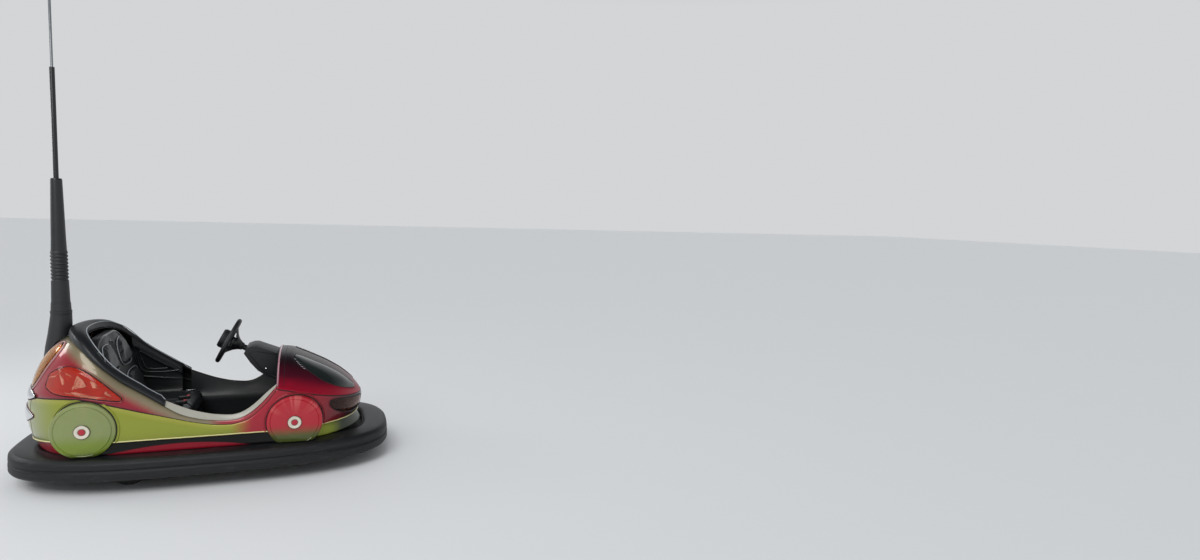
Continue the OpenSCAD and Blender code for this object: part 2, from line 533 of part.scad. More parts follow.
// Seat box, cushion, back and belts
cushion_z = seat_z - cushion_t;
module seat_base() {
  box_t = 3;
  back_x = back_foot_x - back_t;
  color("#26282a") union() {
    translate([back_x, -seat_half_w + 2, cushion_z - seat_gap - box_t])
      cube([seat_front_x - 12 - back_x, 2 * seat_half_w - 4, box_t]);
    translate([seat_front_x - 12 - box_t, -seat_half_w + 2, pan_top + seat_gap])
      cube([box_t, 2 * seat_half_w - 4, cushion_z - pan_top - seat_gap * 2]);
  }
}
module seat_cushion() {
  r = 34;
  color("#202325") translate([0, seat_half_w - 0.5, 0]) rotate([90, 0, 0]) linear_extrude(2 * seat_half_w - 1) hull() {
    translate([seat_front_x - r, seat_z - r]) circle(r, $fn = 48);
    translate([seat_front_x - 14, cushion_z + 12]) circle(12, $fn = 32);
    polygon([for (z = [cushion_z, seat_z]) each [[back_front(z) + 1, z], [back_front(z) + 60, z]]]);
  }
}
// Seat back: height, share of the seat's half width
back_widths = [[cushion_z, 1], [560, 1], [620, 0.955], [680, 0.852], [735, 0.696], [775, 0.483]];
function back_front(z) = back_foot_x - (z - seat_z) * tan(back_lean);
module seat_back() {
  shares = [-1, -0.8, -0.5, -0.15, 0, 0.15, 0.5, 0.8, 1];
  color("#1f2123") skin([for (r = back_widths) wall(
    [for (s = shares) [back_front(r[0]) + (abs(s) == 1 ? -8 : r[0] > 600 && abs(s) == 0.5 ? 14 : 0),
      (seat_half_w - 1) * r[1] * s, r[0]]],
    [for (s = shares) [back_front(r[0]) - back_t, (seat_half_w - 1) * r[1] * s, r[0]]])]);
}
module lap_belts() {
  strap = [46, 3];
  color("#17181a") both_sides() for (y = [60, 290]) translate([back_foot_x + 12, y - strap[0] / 2, seat_z + seat_gap])
    cube([250, strap[0], strap[1]]);
}
module pedal() {
  color("#303234") translate([dash_x - 90, -130, pan_top + seat_gap]) rotate([90, 0, 0]) translate([0, 0, -35])
    linear_extrude(70) polygon([[0, 0], [70, 0], [64, 50], [14, 10]]);
}

// Pole: rubber boot, bellows, tapered sleeve, black tube and the sliding contact
boot_top = 960;
// Rings of the boot: height, radius over the boot's radius, shift to the rear
boot_rings = [[640, 18, 22], [720, 13, 15], [790, 7, 8], [850, 3, 3], [894, 0, 0]];
module pole_boot() {
  half_turns = 24;
  color("#2c2e30") {
    difference() {
      skin([for (r = boot_rings) let (rim = [for (k = [0 : half_turns - 1]) let (a = (k + 0.5) * 180 / half_turns)
          (boot_r + r[1]) * [cos(a), sin(a)]])
        wall([for (q = rim) [pole_x - r[2] + q[0], -q[1], r[0]]], [for (q = rim) [pole_x - r[2] + q[0], q[1], r[0]]])]);
      under_tail();
    }
    translate([pole_x, 0, 0]) rotate_extrude($fn = 64) polygon([[0, 893.9], [boot_r - 1, 893.9], [boot_r + 1, 902],
      [boot_r + 1, 914], [boot_r - 2, 916], [boot_r - 4, boot_top], [0, boot_top]]);
  }
}
// Space under the tail's upper face, grown by the seat's clearance
module under_tail() {
  skin([for (i = [n_half - 5 : n_half + 3]) let (
      rows = concat([for (r = upper_rows) shift(i, upper_point(i, r[0]), -seat_gap, seat_gap)],
        [shift(i, lip_point(i), 0, 2 * seat_gap)]))
    wall(rows, [for (v = rows) [v[0], v[1], 440]])]);
}
module pole_bellows() {
  ribs = 8;
  rib_z = boot_top + seat_gap;
  pitch = 20;
  plain = 120;
  color("#2c2e30") translate([pole_x, 0, rib_z]) rotate_extrude($fn = 64) polygon(concat([[0, 0], [boot_r - 6, 0],
    [boot_r - 9, plain]], [for (k = [0 : ribs - 1]) each [[boot_r - 9, plain + k * pitch + 3],
      [boot_r - 13, plain + k * pitch + 8], [boot_r - 13, plain + k * pitch + 12], [boot_r - 9, plain + k * pitch + 17]]],
    [[boot_r - 12, plain + ribs * pitch + 10], [0, plain + ribs * pitch + 10]]));
}
sleeve_z = boot_top + 290 + 2 * seat_gap;
sleeve_top = 1650;
module pole_sleeve() {
  color("#303335") translate([pole_x, 0, 0]) rotate_extrude($fn = 64) polygon([[0, sleeve_z], [boot_r - 13, sleeve_z],
    [boot_r - 15, sleeve_z + 60], [27.5, sleeve_top - 8], [24, sleeve_top], [0, sleeve_top]]);
}
tube_top = 2250;
rod_in = 240;
module pole_tube() {
  color("#1c1d1f") translate([pole_x, 0, sleeve_top + seat_gap]) difference() {
    cylinder(r = tube_r, h = tube_top - sleeve_top, $fn = 48);
    translate([0, 0, tube_top - sleeve_top - rod_in - 100]) cylinder(r = rod_r + 0.1, h = rod_in + 101, $fn = 48);
  }
}
shoe_h = 22;
module contact_rod() {
  color("#8f9396") translate([pole_x, 0, tube_top - rod_in]) cylinder(r = rod_r, h = pole_top - shoe_h - tube_top + rod_in, $fn = 32);
}
module contact_shoe() {
  color("#9a7a45") translate([pole_x, 0, pole_top - shoe_h + seat_gap]) union() {
    cylinder(r1 = 12, r2 = 26, h = 8, $fn = 48);
    translate([0, 0, 8]) cylinder(r = 26, h = shoe_h - 8 - seat_gap, $fn = 48);
  }
}

// Steering wheel with three spokes that run into its cone
hub_z = -88;
module steering_wheel() {
  color("#1a1b1c") on_column(0) union() {
    rotate_extrude($fn = 96) translate([rim_r, 0]) circle(rim_t, $fn = 32);
    for (a = [0, 120, 240]) rotate([0, 0, a]) hull() {
      translate([rim_r - 6, 0, -2]) scale([0.5, 1.5, 0.6]) sphere(9, $fn = 12);
      translate([18, 0, hub_z + 30]) scale([0.7, 1.7, 1.2]) sphere(11, $fn = 12);
    }
    translate([0, 0, hub_z]) cylinder(r1 = 21, r2 = 34, h = 78, $fn = 64);
  }
}
module horn_pad() {
  color("#17181a") on_column(-10 + seat_gap) rotate_extrude($fn = 72) polygon([[0, 0], [horn_r - 12, 0], [horn_r, 8],
    [horn_r, 48], [horn_r - 6, 58], [0, 60]]);
}
module steering_shaft() {
  color("#7d8184") on_column(-170) cylinder(r = 10, h = 170 + hub_z - seat_gap, $fn = 48);
}

// Steering head: fixed bearing ring, turning fork and motor, drive wheel
head_z = pan_top + seat_gap;
fork_y = drive_w / 2 + 8;
fork_t = 10;
fork_top = drive_r * 2 + 14;
module steer_bearing() {
  color("#6b6f73") translate([drive_x, 0, head_z]) difference() {
    cylinder(r = bearing_r + 26, h = 20, $fn = 96);
    translate([0, 0, -1]) cylinder(r = bearing_r + 0.5, h = 22, $fn = 96);
  }
}
module drive_fork() {
  color("#54585c") translate([drive_x, 0, 0]) difference() {
    union() {
      translate([0, 0, head_z + 2]) difference() {
        cylinder(r = bearing_r, h = 14, $fn = 96);
        translate([0, 0, -1]) cylinder(r = bearing_r - 26, h = 16, $fn = 96);
      }
      both_sides() {
        translate([-30, fork_y, drive_r - 24]) cube([60, fork_t, fork_top - drive_r + 24]);
        translate([-20, fork_y, head_z + 2]) cube([40, bearing_r - 15 - fork_y, 14]);
      }
      translate([-60, -fork_y - fork_t, fork_top]) cube([120, 2 * (fork_y + fork_t), 10]);
    }
    translate([0, 0, drive_r]) rotate([90, 0, 0]) cylinder(r = 10.05, h = 400, center = true, $fn = 48);
  }
}
module drive_motor() {
  color("#3d4145") translate([drive_x, 0, fork_top + 10 + seat_gap]) cylinder(r = 82, h = 150, $fn = 64);
}
module drive_hub() {
  color("#8c9195") translate([drive_x, 0, drive_r]) rotate([90, 0, 0]) union() {
    cylinder(r = 10, h = 2 * (fork_y + fork_t) + 6, center = true, $fn = 48);
    cylinder(r = drive_r - 26, h = drive_w - 8, center = true, $fn = 64);
    cylinder(r = 24, h = 2 * fork_y - 1, center = true, $fn = 48);
  }
}
module tyre(outer, inner, width) {
  edge = 6;
  rotate([90, 0, 0]) rotate_extrude($fn = 96) polygon([[inner, -width / 2], [outer - edge, -width / 2],
    [outer, -width / 2 + edge], [outer, width / 2 - edge], [outer - edge, width / 2], [inner, width / 2]]);
}
module drive_tyre() { color("#1d1d1e") translate([drive_x, 0, drive_r]) tyre(drive_r, drive_r - 26, drive_w); }

// Rear axle with its two carriers, and the rear wheels
bore_r = axle_r + 0.05;
module rear_axle() {
  arm_t = 12;
  color("#6d7174") union() {
    translate([rear_x, 0, rear_r]) rotate([90, 0, 0]) cylinder(r = axle_r, h = 2 * (rear_y + rear_w / 2 + 8), center = true, $fn = 48);
    both_sides() translate([rear_x - 26, rail_y + tube_h / 2 - arm_t / 2, rear_r - 24])
      cube([52, arm_t, tube_z - rear_r + 24 - seat_gap]);
  }
}
module rear_hub(side) {
  color("#8c9195") translate([rear_x, side * rear_y, rear_r]) rotate([90, 0, 0]) difference() {
    union() {
      cylinder(r = rear_r - 24, h = rear_w - 10, center = true, $fn = 64);
      cylinder(r = 26, h = rear_w + 8, center = true, $fn = 48);
    }
    cylinder(r = bore_r, h = rear_w + 30, center = true, $fn = 48);
  }
}
module rear_tyre(side) {
  color("#1d1d1e") translate([rear_x, side * rear_y, rear_r]) tyre(rear_r, rear_r - 24, rear_w);
}
module rear_hub_left() { rear_hub(1); }
module rear_tyre_left() { rear_tyre(1); }
module rear_hub_right() { rear_hub(-1); }
module rear_tyre_right() { rear_tyre(-1); }

chassis_frame();
floor_pan();
bumper_band();
bumper_ring();
apron();
body_lower();
body_upper();
hood();
hood_panels();
headlamps();
side_lenses();
tail_lamps();
tail_bars();
wheel_discs_front();
wheel_discs_rear();
hub_caps();
door_trim();
coaming_pad();
side_liners();
dash_panel();
console();
column_tube();
seat_base();
seat_cushion();
seat_back();
lap_belts();
pedal();
pole_boot();
pole_bellows();
pole_sleeve();
pole_tube();
contact_rod();
contact_shoe();
steering_wheel();
horn_pad();
steering_shaft();
steer_bearing();
drive_fork();
drive_motor();
drive_hub();
drive_tyre();
rear_axle();
rear_hub_left();
rear_tyre_left();
rear_hub_right();
rear_tyre_right();
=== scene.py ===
import math
import bpy
import bmesh
import numpy as np
from mathutils import Matrix, Vector
from mathutils.bvhtree import BVHTree
from mathutils.kdtree import KDTree


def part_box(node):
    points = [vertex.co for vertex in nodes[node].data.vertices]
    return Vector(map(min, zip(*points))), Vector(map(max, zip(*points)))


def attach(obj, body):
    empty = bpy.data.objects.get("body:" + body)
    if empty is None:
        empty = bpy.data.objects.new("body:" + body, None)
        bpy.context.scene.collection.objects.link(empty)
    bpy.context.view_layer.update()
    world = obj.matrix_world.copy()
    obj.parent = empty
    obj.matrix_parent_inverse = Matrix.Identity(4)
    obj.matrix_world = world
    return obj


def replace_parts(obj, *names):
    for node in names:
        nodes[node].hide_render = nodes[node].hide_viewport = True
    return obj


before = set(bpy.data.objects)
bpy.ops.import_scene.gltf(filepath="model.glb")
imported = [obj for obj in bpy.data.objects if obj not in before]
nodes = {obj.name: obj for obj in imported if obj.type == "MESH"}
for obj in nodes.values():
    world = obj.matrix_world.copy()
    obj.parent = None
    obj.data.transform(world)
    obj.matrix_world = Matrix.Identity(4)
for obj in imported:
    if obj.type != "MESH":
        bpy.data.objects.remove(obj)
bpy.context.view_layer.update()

# Studio: a level sheet of matt painted board, pale grey, under a plain overcast light with two soft boxes.
# The board takes the car's soft shadow, and the clear coat has something plain to mirror.
BOARD, SKY, CEILING = "#DFE1E3", "#F1F3F5", "#5A5F64"
SKY_LIGHT, SKY_SHOWN = 0.6, 0.74
BOARD_HALF = 60


def linear(hex_colour):
    """sRGB hex to a linear colour."""
    parts = [int(hex_colour[i:i + 2], 16) / 255 for i in (1, 3, 5)]
    return [p / 12.92 if p <= 0.04045 else ((p + 0.055) / 1.055) ** 2.4 for p in parts] + [1]


def add_node(tree, kind, sockets=None, **settings):
    """Adds a shader node and sets its properties and sockets. A socket takes a value, a hex colour, another
    node or one of its outputs; a number stands for a place among the node's open sockets."""
    node = tree.nodes.new("ShaderNode" + kind)
    for key, value in settings.items():
        setattr(node, key, value)
    for key, source in (sockets or {}).items():
        ready = [s for s in node.inputs if s.enabled]
        socket = ready[key] if isinstance(key, int) else next(s for s in ready if s.name == key)
        if isinstance(source, bpy.types.Node):
            source = next(s for s in source.outputs if s.enabled)
        if isinstance(source, bpy.types.NodeSocket):
            tree.links.new(source, socket)
        else:
            socket.default_value = linear(source) if isinstance(source, str) else source
    return node


def finish_of(name, colour, roughness, **sockets):
    """A material, its node tree and its Principled shader, with the sockets that are the same all over."""
    finish = bpy.data.materials.new(name)
    finish.use_nodes = True
    shader = finish.node_tree.nodes["Principled BSDF"]
    shader.inputs["Base Color"].default_value = linear(colour)
    shader.inputs["Roughness"].default_value = roughness
    for key, value in sockets.items():
        shader.inputs[key.replace("_", " ")].default_value = value
    return finish, finish.node_tree, shader


def applied(made):
    """A mesh with an object's modifiers worked in."""
    return bpy.data.meshes.new_from_object(made.evaluated_get(bpy.context.evaluated_depsgraph_get()))


def mesh_of(name, source):
    """A mesh from a finished bmesh, or from an object with its modifiers."""
    if isinstance(source, bmesh.types.BMesh):
        mesh = bpy.data.meshes.new(name)
        source.to_mesh(mesh)
        source.free()
        return mesh
    mesh = applied(source)
    bpy.data.objects.remove(source)
    return mesh


def place(name, source, finish, smooth=True):
    """Makes an object at the origin."""
    mesh = mesh_of(name, source)
    mesh.materials.clear()
    mesh.materials.append(finish)
    mesh.shade_smooth() if smooth else mesh.shade_flat()
    made = bpy.data.objects.new(name, mesh)
    bpy.context.scene.collection.objects.link(made)
    return made


bm = bmesh.new()
bmesh.ops.create_grid(bm, x_segments=1, y_segments=1, size=BOARD_HALF)
place("studio_floor", bm, finish_of("matt_painted_board", BOARD, 0.7)[0])

world = bpy.data.worlds.new("studio")
bpy.context.scene.world = world
world.use_nodes = True
tree = world.node_tree
lit = tree.nodes["Background"]
lit.inputs["Color"].default_value = linear(SKY)
lit.inputs["Strength"].default_value = SKY_LIGHT
# What the camera and mirrors see of the room: pale walls under a grey ceiling
up = add_node(tree, "SeparateXYZ", {0: add_node(tree, "TexCoord").outputs["Generated"]}).outputs["Z"]
shade = add_node(tree, "MapRange", {"Value": up, "From Min": 0.27, "From Max": 0.6})
room = add_node(tree, "Mix", {"Factor": shade, "A": SKY, "B": CEILING}, data_type="RGBA")
shown = add_node(tree, "Background", {"Color": room, "Strength": SKY_SHOWN})
path = add_node(tree, "LightPath")
seen = add_node(tree, "Math", {0: path.outputs["Is Camera Ray"], 1: path.outputs["Is Glossy Ray"]},
                operation="MAXIMUM")
seen = add_node(tree, "Math", {0: seen, 1: path.outputs["Is Transmission Ray"]}, operation="MAXIMUM")
both = add_node(tree, "MixShader", {0: seen, 1: lit.outputs[0], 2: shown.outputs[0]})
tree.links.new(both.outputs[0], tree.nodes["World Output"].inputs["Surface"])
bpy.context.scene.view_settings.view_transform = "Standard"

SUN_SPREAD = math.radians(34)
# Lamps: name, kind, where it hangs, what it faces, size across and down in metres, power
LAMPS = [
    ("overcast_sun", "SUN", (-1.6, -3.0, 4.6), (0, 0, 0), 0, 0, 1.15),
    ("side_box", "AREA", (-2.0, -3.4, 2.7), (-0.2, 0, 0.5), 2.2, 0.7, 26),
    ("tail_box", "AREA", (-3.6, 1.4, 2.2), (-0.5, 0, 0.5), 1.6, 0.7, 22),
]
for name, kind, hung, faced, across, down, power in LAMPS:
    lamp = bpy.data.lights.new(name, kind)
    lamp.energy = power
    if kind == "SUN":
        lamp.angle = SUN_SPREAD
    else:
        lamp.shape, lamp.size, lamp.size_y = "RECTANGLE", across, down
    holder = bpy.data.objects.new(name, lamp)
    turn = (Vector(hung) - Vector(faced)).to_track_quat("Z", "Y").to_matrix().to_4x4()
    holder.matrix_world = Matrix.Translation(hung) @ turn
    bpy.context.scene.collection.objects.link(holder)

# Camera: it stands where the photograph was taken, in the car's own frame, with the photograph's lens. Its
# heading is from straight across the car, and it looks a little down.
LENS_MM = 21.656
EYE = Vector((0.6226, -4.8204, 1.5406))
HEADING, PITCH, ROLL = (math.radians(a) for a in (20.896, -5.2007, 1.69847))
ahead = Vector((math.sin(HEADING) * math.cos(PITCH), math.cos(HEADING) * math.cos(PITCH), math.sin(PITCH)))
level = Vector((math.cos(HEADING), -math.sin(HEADING), 0))
lens = bpy.data.cameras.new("eye")
lens.lens = LENS_MM
camera = bpy.data.objects.new("eye", lens)
turn = Matrix((level, level.cross(ahead), -ahead)).transposed() @ Matrix.Rotation(ROLL, 3, "Z")
camera.matrix_world = Matrix.Translation(EYE) @ turn.to_4x4()
bpy.context.scene.collection.objects.link(camera)
bpy.context.scene.camera = camera

# Chassis: a frame of welded square tube, a sheet floor and a bent steel hoop that carries the rubber.
# The tube is brushed with red-brown primer; the floor and the hoop are sprayed satin black.
DRIFT_MM = 120
WORN = 0.07


def grained(name, colour, second, roughness, grain_mm, depth_mm, **sockets):
    """A finish whose colour and gloss drift slowly, with a grain of a real size and depth."""
    finish, tree, shader = finish_of(name, colour, roughness, **sockets)
    spot = add_node(tree, "TexCoord").outputs["Object"]
    drift = add_node(tree, "TexNoise", {"Vector": spot, "Scale": 1000 / DRIFT_MM, "Detail": 4.0})
    mixed = add_node(tree, "Mix", {"Factor": drift, "A": colour, "B": second}, data_type="RGBA")
    tree.links.new(mixed.outputs[2], shader.inputs["Base Color"])
    grain = add_node(tree, "TexNoise", {"Vector": spot, "Scale": 1000 / grain_mm, "Detail": 3.0})
    worn = add_node(tree, "MapRange", {"Value": drift, "To Min": roughness - WORN,
                                       "To Max": roughness + WORN})
    tree.links.new(worn.outputs[0], shader.inputs["Roughness"])
    raised = add_node(tree, "Bump", {"Height": grain, "Distance": depth_mm / 1000, "Strength": 0.6})
    tree.links.new(raised.outputs["Normal"], shader.inputs["Normal"])
    return finish


def dress(finish, *names):
    """Gives CAD nodes their finish."""
    for name in names:
        nodes[name].data.materials.clear()
        nodes[name].data.materials.append(finish)


# Brush marks and a dull film of dust on the primer
dress(grained("brushed_primer", "#3B2321", "#2A1C1B", 0.6, 8, 0.2), "chassis_frame")
# Sprayed satin black steel, a little orange peel
dress(grained("satin_black_steel", "#232528", "#191B1D", 0.5, 6, 0.15), "floor_pan", "bumper_band")

# Running gear: a cast iron steering fork with the drive wheel and its motor, and two free rear wheels on a
# turned axle. Solid rubber tyres are pressed on the hubs, and everything is bolted under the floor.
# The castings are grey and matt, the axle and the steering shaft show fine turning marks.
dress(grained("cast_iron", "#4C4F52", "#37393B", 0.55, 3, 0.3, Metallic=0.7), "drive_fork", "steer_bearing",
      "drive_hub")
dress(grained("turned_steel", "#8A8D90", "#77797C", 0.32, 1.5, 0.02, Metallic=1.0), "rear_axle",
      "steering_shaft")
dress(grained("cast_alloy", "#9A9DA0", "#84878A", 0.42, 2, 0.1, Metallic=0.9), "rear_hub_left",
      "rear_hub_right")
dress(grained("motor_enamel", "#34383C", "#2A2D30", 0.4, 4, 0.05), "drive_motor")
dress(grained("solid_tyre_rubber", "#1E1E1F", "#2B2A29", 0.75, 2.5, 0.2), "drive_tyre", "rear_tyre_left",
      "rear_tyre_right")

# Bumper: a hollow ring of charcoal rubber stretched over the steel hoop, moulded with a recess line all
# round. Shoes have polished its broad top, and knocks have scuffed its face.
SHARP_DEGREES = 38
LEVELS = 2


def merged_copy(name):
    """A bmesh of a CAD node, with the split corners merged and the triangles turned back to quads."""
    bm = bmesh.new()
    bm.from_mesh(nodes[name].data)
    bmesh.ops.remove_doubles(bm, verts=bm.verts, dist=0.00002)
    bmesh.ops.join_triangles(bm, faces=bm.faces, angle_face_threshold=math.radians(60),
                             angle_shape_threshold=math.radians(80))
    return bm


def softened(bm, degrees=SHARP_DEGREES, hold=0.7):
    """An object with a Subdivision Surface, creased where it turns by more than an angle."""
    layer = bm.edges.layers.float.new("crease_edge")
    for edge in bm.edges:
        if len(edge.link_faces) == 2 and edge.calc_face_angle() > math.radians(degrees):
            edge[layer] = hold
    rough = bpy.data.objects.new("rough", mesh_of("rough", bm))
    bpy.context.scene.collection.objects.link(rough)
    soft = rough.modifiers.new("subdivision", "SUBSURF")
    soft.levels = soft.render_levels = LEVELS
    return rough


def fitted(made, body="chassis"):
    """Says what a piece rides on."""
    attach(made, body)
    return made


def shell(name, finish, slot, node, **shape):
    """A smooth piece made from the coarse walls of a CAD node, which it replaces."""
    made = fitted(place(name, softened(merged_copy(node), **shape), finish))
    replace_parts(made, node)
    return made


# Moulded rubber: matt charcoal, with paler dusty scuffs drawn out along the ring's face
rubber, tree, shader = finish_of("moulded_bumper_rubber", "#181A1C", 0.5, Specular_IOR_Level=0.4)
spot = add_node(tree, "TexCoord").outputs["Object"]
SCUFF_MM, RUBBER_MM = (90, 90, 9), 2.5
drawn = add_node(tree, "Mapping", {"Vector": spot, "Scale": [1000 / s for s in SCUFF_MM]})
scuff = add_node(tree, "TexNoise", {"Vector": drawn, "Scale": 1.0, "Detail": 5.0, "Roughness": 0.65})
scuffed = add_node(tree, "MapRange", {"Value": scuff, "From Min": 0.56, "From Max": 0.74, "To Max": 0.6})
colour = add_node(tree, "Mix", {"Factor": scuffed, "A": "#141619", "B": "#3A3B3C"}, data_type="RGBA")
tree.links.new(colour.outputs[2], shader.inputs["Base Color"])
facing = add_node(tree, "SeparateXYZ", {0: add_node(tree, "NewGeometry").outputs["Normal"]}).outputs["Z"]
polished = add_node(tree, "MapRange", {"Value": facing, "From Min": 0.7, "From Max": 1.0, "To Min": 0.56,
                                       "To Max": 0.36})
tree.links.new(polished.outputs[0], shader.inputs["Roughness"])
grain = add_node(tree, "TexNoise", {"Vector": spot, "Scale": 1000 / RUBBER_MM, "Detail": 3.0})
raised = add_node(tree, "Bump", {"Height": grain, "Distance": 0.00012, "Strength": 0.5})
raised = add_node(tree, "Bump", {"Height": scuff, "Distance": 0.0006, "Strength": 0.4,
                                 "Normal": raised.outputs["Normal"]})
tree.links.new(raised.outputs["Normal"], shader.inputs["Normal"])
shell("rubber_bumper", rubber, "bumper_rubber", "bumper_ring", degrees=30, hold=0.55)

# Body: two glass-fibre mouldings and a hood that meet along a joint line, bolted to the chassis from inside.
# The paint is airbrushed pearl under a thick clear coat: lime along the sides, crimson over it and olive
# grey along the coaming.


def tree_of(*meshes):
    """A search tree of meshes' surfaces."""
    bm = bmesh.new()
    for mesh in meshes:
        bm.from_mesh(mesh)
    found = BVHTree.FromBMesh(bm)
    bm.free()
    return found


TOUCHING, SAME_SPOT = 0.0015, 0.011
lower_corners = KDTree(len(nodes["body_lower"].data.vertices))
for corner in nodes["body_lower"].data.vertices:
    lower_corners.insert(corner.co, corner.index)
lower_corners.balance()
# Joint line: the corners of the upper mouldings that touch the lower one, and of these the outer ones
meeting = [corner.co.copy() for name in ("body_upper", "hood") for corner in nodes[name].data.vertices
           if lower_corners.find(corner.co)[2] < TOUCHING]
meeting = sorted(meeting, key=lambda p: -p.xy.length)
joint = []
for spot in meeting:
    if all((spot - p).length > SAME_SPOT for p in joint):
        joint.append(spot)
joint.sort(key=lambda p: math.atan2(p.y, p.x))
joint_x, joint_z = zip(*sorted((p.x, p.z) for p in joint if p.y <= 0.001))
BOOT_MIDDLE = Vector((-0.76, 0, 0.83))
trim_tree = tree_of(nodes["door_trim"].data, nodes["coaming_pad"].data)


def mark_paint(made):
    """Stores on each corner how far it is over the joint, from the trim and from the boot, in metres."""
    places = [v.co for v in made.data.vertices]
    marks = {"over_joint": [p.z - float(np.interp(p.x, joint_x, joint_z)) for p in places],
             "from_trim": [trim_tree.find_nearest(p)[3] for p in places],
             "near_boot": [(p - BOOT_MIDDLE).length for p in places]}
    for name, values in marks.items():
        made.data.attributes.new(name, "FLOAT", "POINT").data.foreach_set("value", values)


PEEL_MM, MIST_MM, CLOUD_MM = 9, 5, 125
# How far the droplets and the hand's waver move the edge of a colour, in metres
MIST_WIDE, CLOUD_WIDE = 0.03, 0.05
# Real flakes are too fine to show, so these are drawn about ten times coarser
FLAKE_MM = 0.9
SOFT_FADE = 0.12


def flaked(tree, spot, shader):
    """Pearl flakes, which tip the light a little each its own way."""
    flake = add_node(tree, "TexVoronoi", {"Vector": spot, "Scale": 1000 / FLAKE_MM})
    lit = add_node(tree, "Bump", {"Height": flake, "Distance": 0.00015, "Strength": 0.25})
    tree.links.new(lit.outputs["Normal"], shader.inputs["Normal"])


def airbrushed(name, base, zones, coat=0.7, specular=0.3):
    """Pearl paint: flakes under a clear coat with some orange peel, and a mist of colour for each zone. A
    zone says what it goes by, where it starts, where it is full, its colour and its strength."""
    finish, tree, shader = finish_of(name, base, 0.36, Metallic=0.25, Specular_IOR_Level=specular,
                                     Coat_Weight=coat, Coat_Roughness=0.05)
    spot = add_node(tree, "TexCoord").outputs["Object"]
    mist = add_node(tree, "TexNoise", {"Vector": spot, "Scale": 1000 / MIST_MM, "Detail": 3.0})
    cloud = add_node(tree, "TexNoise", {"Vector": spot, "Scale": 1000 / CLOUD_MM, "Detail": 2.0})
    centred = -(MIST_WIDE + CLOUD_WIDE) / 2
    spread = add_node(tree, "Math", {0: mist, 1: MIST_WIDE, 2: centred}, operation="MULTIPLY_ADD")
    spread = add_node(tree, "Math", {0: cloud, 1: CLOUD_WIDE, 2: spread}, operation="MULTIPLY_ADD")
    where = add_node(tree, "SeparateXYZ", {0: spot})
    colour = base
    for goes_by, start, full, tint, strength in zones:
        measure = (where.outputs[goes_by] if goes_by in "XYZ"
                   else add_node(tree, "Attribute", attribute_name=goes_by).outputs["Fac"])
        soft = min(1.0, abs(full - start) / SOFT_FADE)
        moved = add_node(tree, "Math", {0: spread, 1: soft, 2: measure}, operation="MULTIPLY_ADD")
        share = add_node(tree, "MapRange", {"Value": moved, "From Min": start, "From Max": full,
                                            "To Max": strength}, interpolation_type="SMOOTHSTEP")
        colour = add_node(tree, "Mix", {"Factor": share, "A": colour, "B": tint},
                          data_type="RGBA").outputs[2]
    tree.links.new(colour, shader.inputs["Base Color"])
    flaked(tree, spot, shader)
    peel = add_node(tree, "TexNoise", {"Vector": spot, "Scale": 1000 / PEEL_MM, "Detail": 1.0})
    skin = add_node(tree, "Bump", {"Height": peel, "Distance": 0.00005, "Strength": 0.5})
    tree.links.new(skin.outputs["Normal"], shader.inputs["Coat Normal"])
    return finish


# Bare gelcoat at the back of the mouldings: near black, dull and a little wavy
gelcoat = grained("black_gelcoat", "#101112", "#17191A", 0.55, 9, 0.2)
COCKPIT_REAR, COCKPIT_FRONT, OVERHEAD = -0.45, 0.38, 0.5


def bare_backed(made):
    """Gives the walls that look into the cockpit, and those overhead, the bare back of the moulding."""
    made.data.materials.append(gelcoat)
    for face in made.data.polygons:
        middle, way = face.center, face.normal
        out = Vector((middle.x - min(max(middle.x, COCKPIT_REAR), COCKPIT_FRONT), middle.y)).normalized()
        face.material_index = int(way.xy.dot(out) < -0.12 or (way.z < -0.3 and middle.z > OVERHEAD))


CRIMSON, LIME, OLIVE = "#93061F", "#8E962A", "#353F26"
side_pearl = airbrushed("airbrushed_side_pearl", LIME, [
    ("X", -0.66, -0.84, "#8E9468", 0.8),
    ("X", -0.86, -0.94, "#BFC2A4", 0.8),
    # The pale band just under the joint is a painted highlight
    ("over_joint", -0.035, -0.005, "#ACA64A", 0.5),
    ("Z", 0.30, 0.24, "#5F6B22", 0.5),
    ("X", 0.10, 0.24, "#A31129", 1.0),
    ("X", 0.30, 0.50, CRIMSON, 1.0),
    ("X", 0.56, 0.78, "#300912", 1.0)])
side = shell("side_moulding", side_pearl, "side_paint", "body_lower")
tail_pearl = airbrushed("airbrushed_tail_pearl", CRIMSON, [
    ("X", -0.45, 0.0, "#A51230", 0.8),
    ("over_joint", 0.03, 0.0, "#74122B", 0.6),
    ("from_trim", 0.080, 0.022, "#847F64", 0.92),
    ("near_boot", 0.30, 0.12, OLIVE, 0.85),
    ("from_trim", 0.012, 0.000, OLIVE, 0.5),
    ("X", 0.0, 0.10, "#98102A", 0.9)])
tail = shell("tail_moulding", tail_pearl, "tail_paint", "body_upper")
hood_pearl = airbrushed("airbrushed_hood_pearl", "#9A0B28", [
    ("over_joint", 0.01, 0.08, "#4E0A20", 1.0),
    ("over_joint", 0.05, 0.15, "#19060F", 1.0)], coat=0.3, specular=0.1)
hood = shell("hood_moulding", hood_pearl, "hood_paint", "hood")
# The near black above the red band, and along the skirt's front part, is painted shade of the sill
skirt_pearl = airbrushed("airbrushed_skirt_pearl", "#8F0A22", [
    ("into_painted_sill_shade", -0.004, 0.003, "#030303", 1.0),
    ("X", 0.10, 0.34, "#080906", 1.0),
    ("X", 0.56, 0.585, "#8C982C", 1.0),
    ("X", 0.62, 0.72, "#343B2C", 1.0)], coat=0.35, specular=0.15)
skirt = shell("painted_skirt", skirt_pearl, "skirt_paint", "apron")
for made in (side, tail, hood, skirt):
    mark_paint(made)
    bare_backed(made)
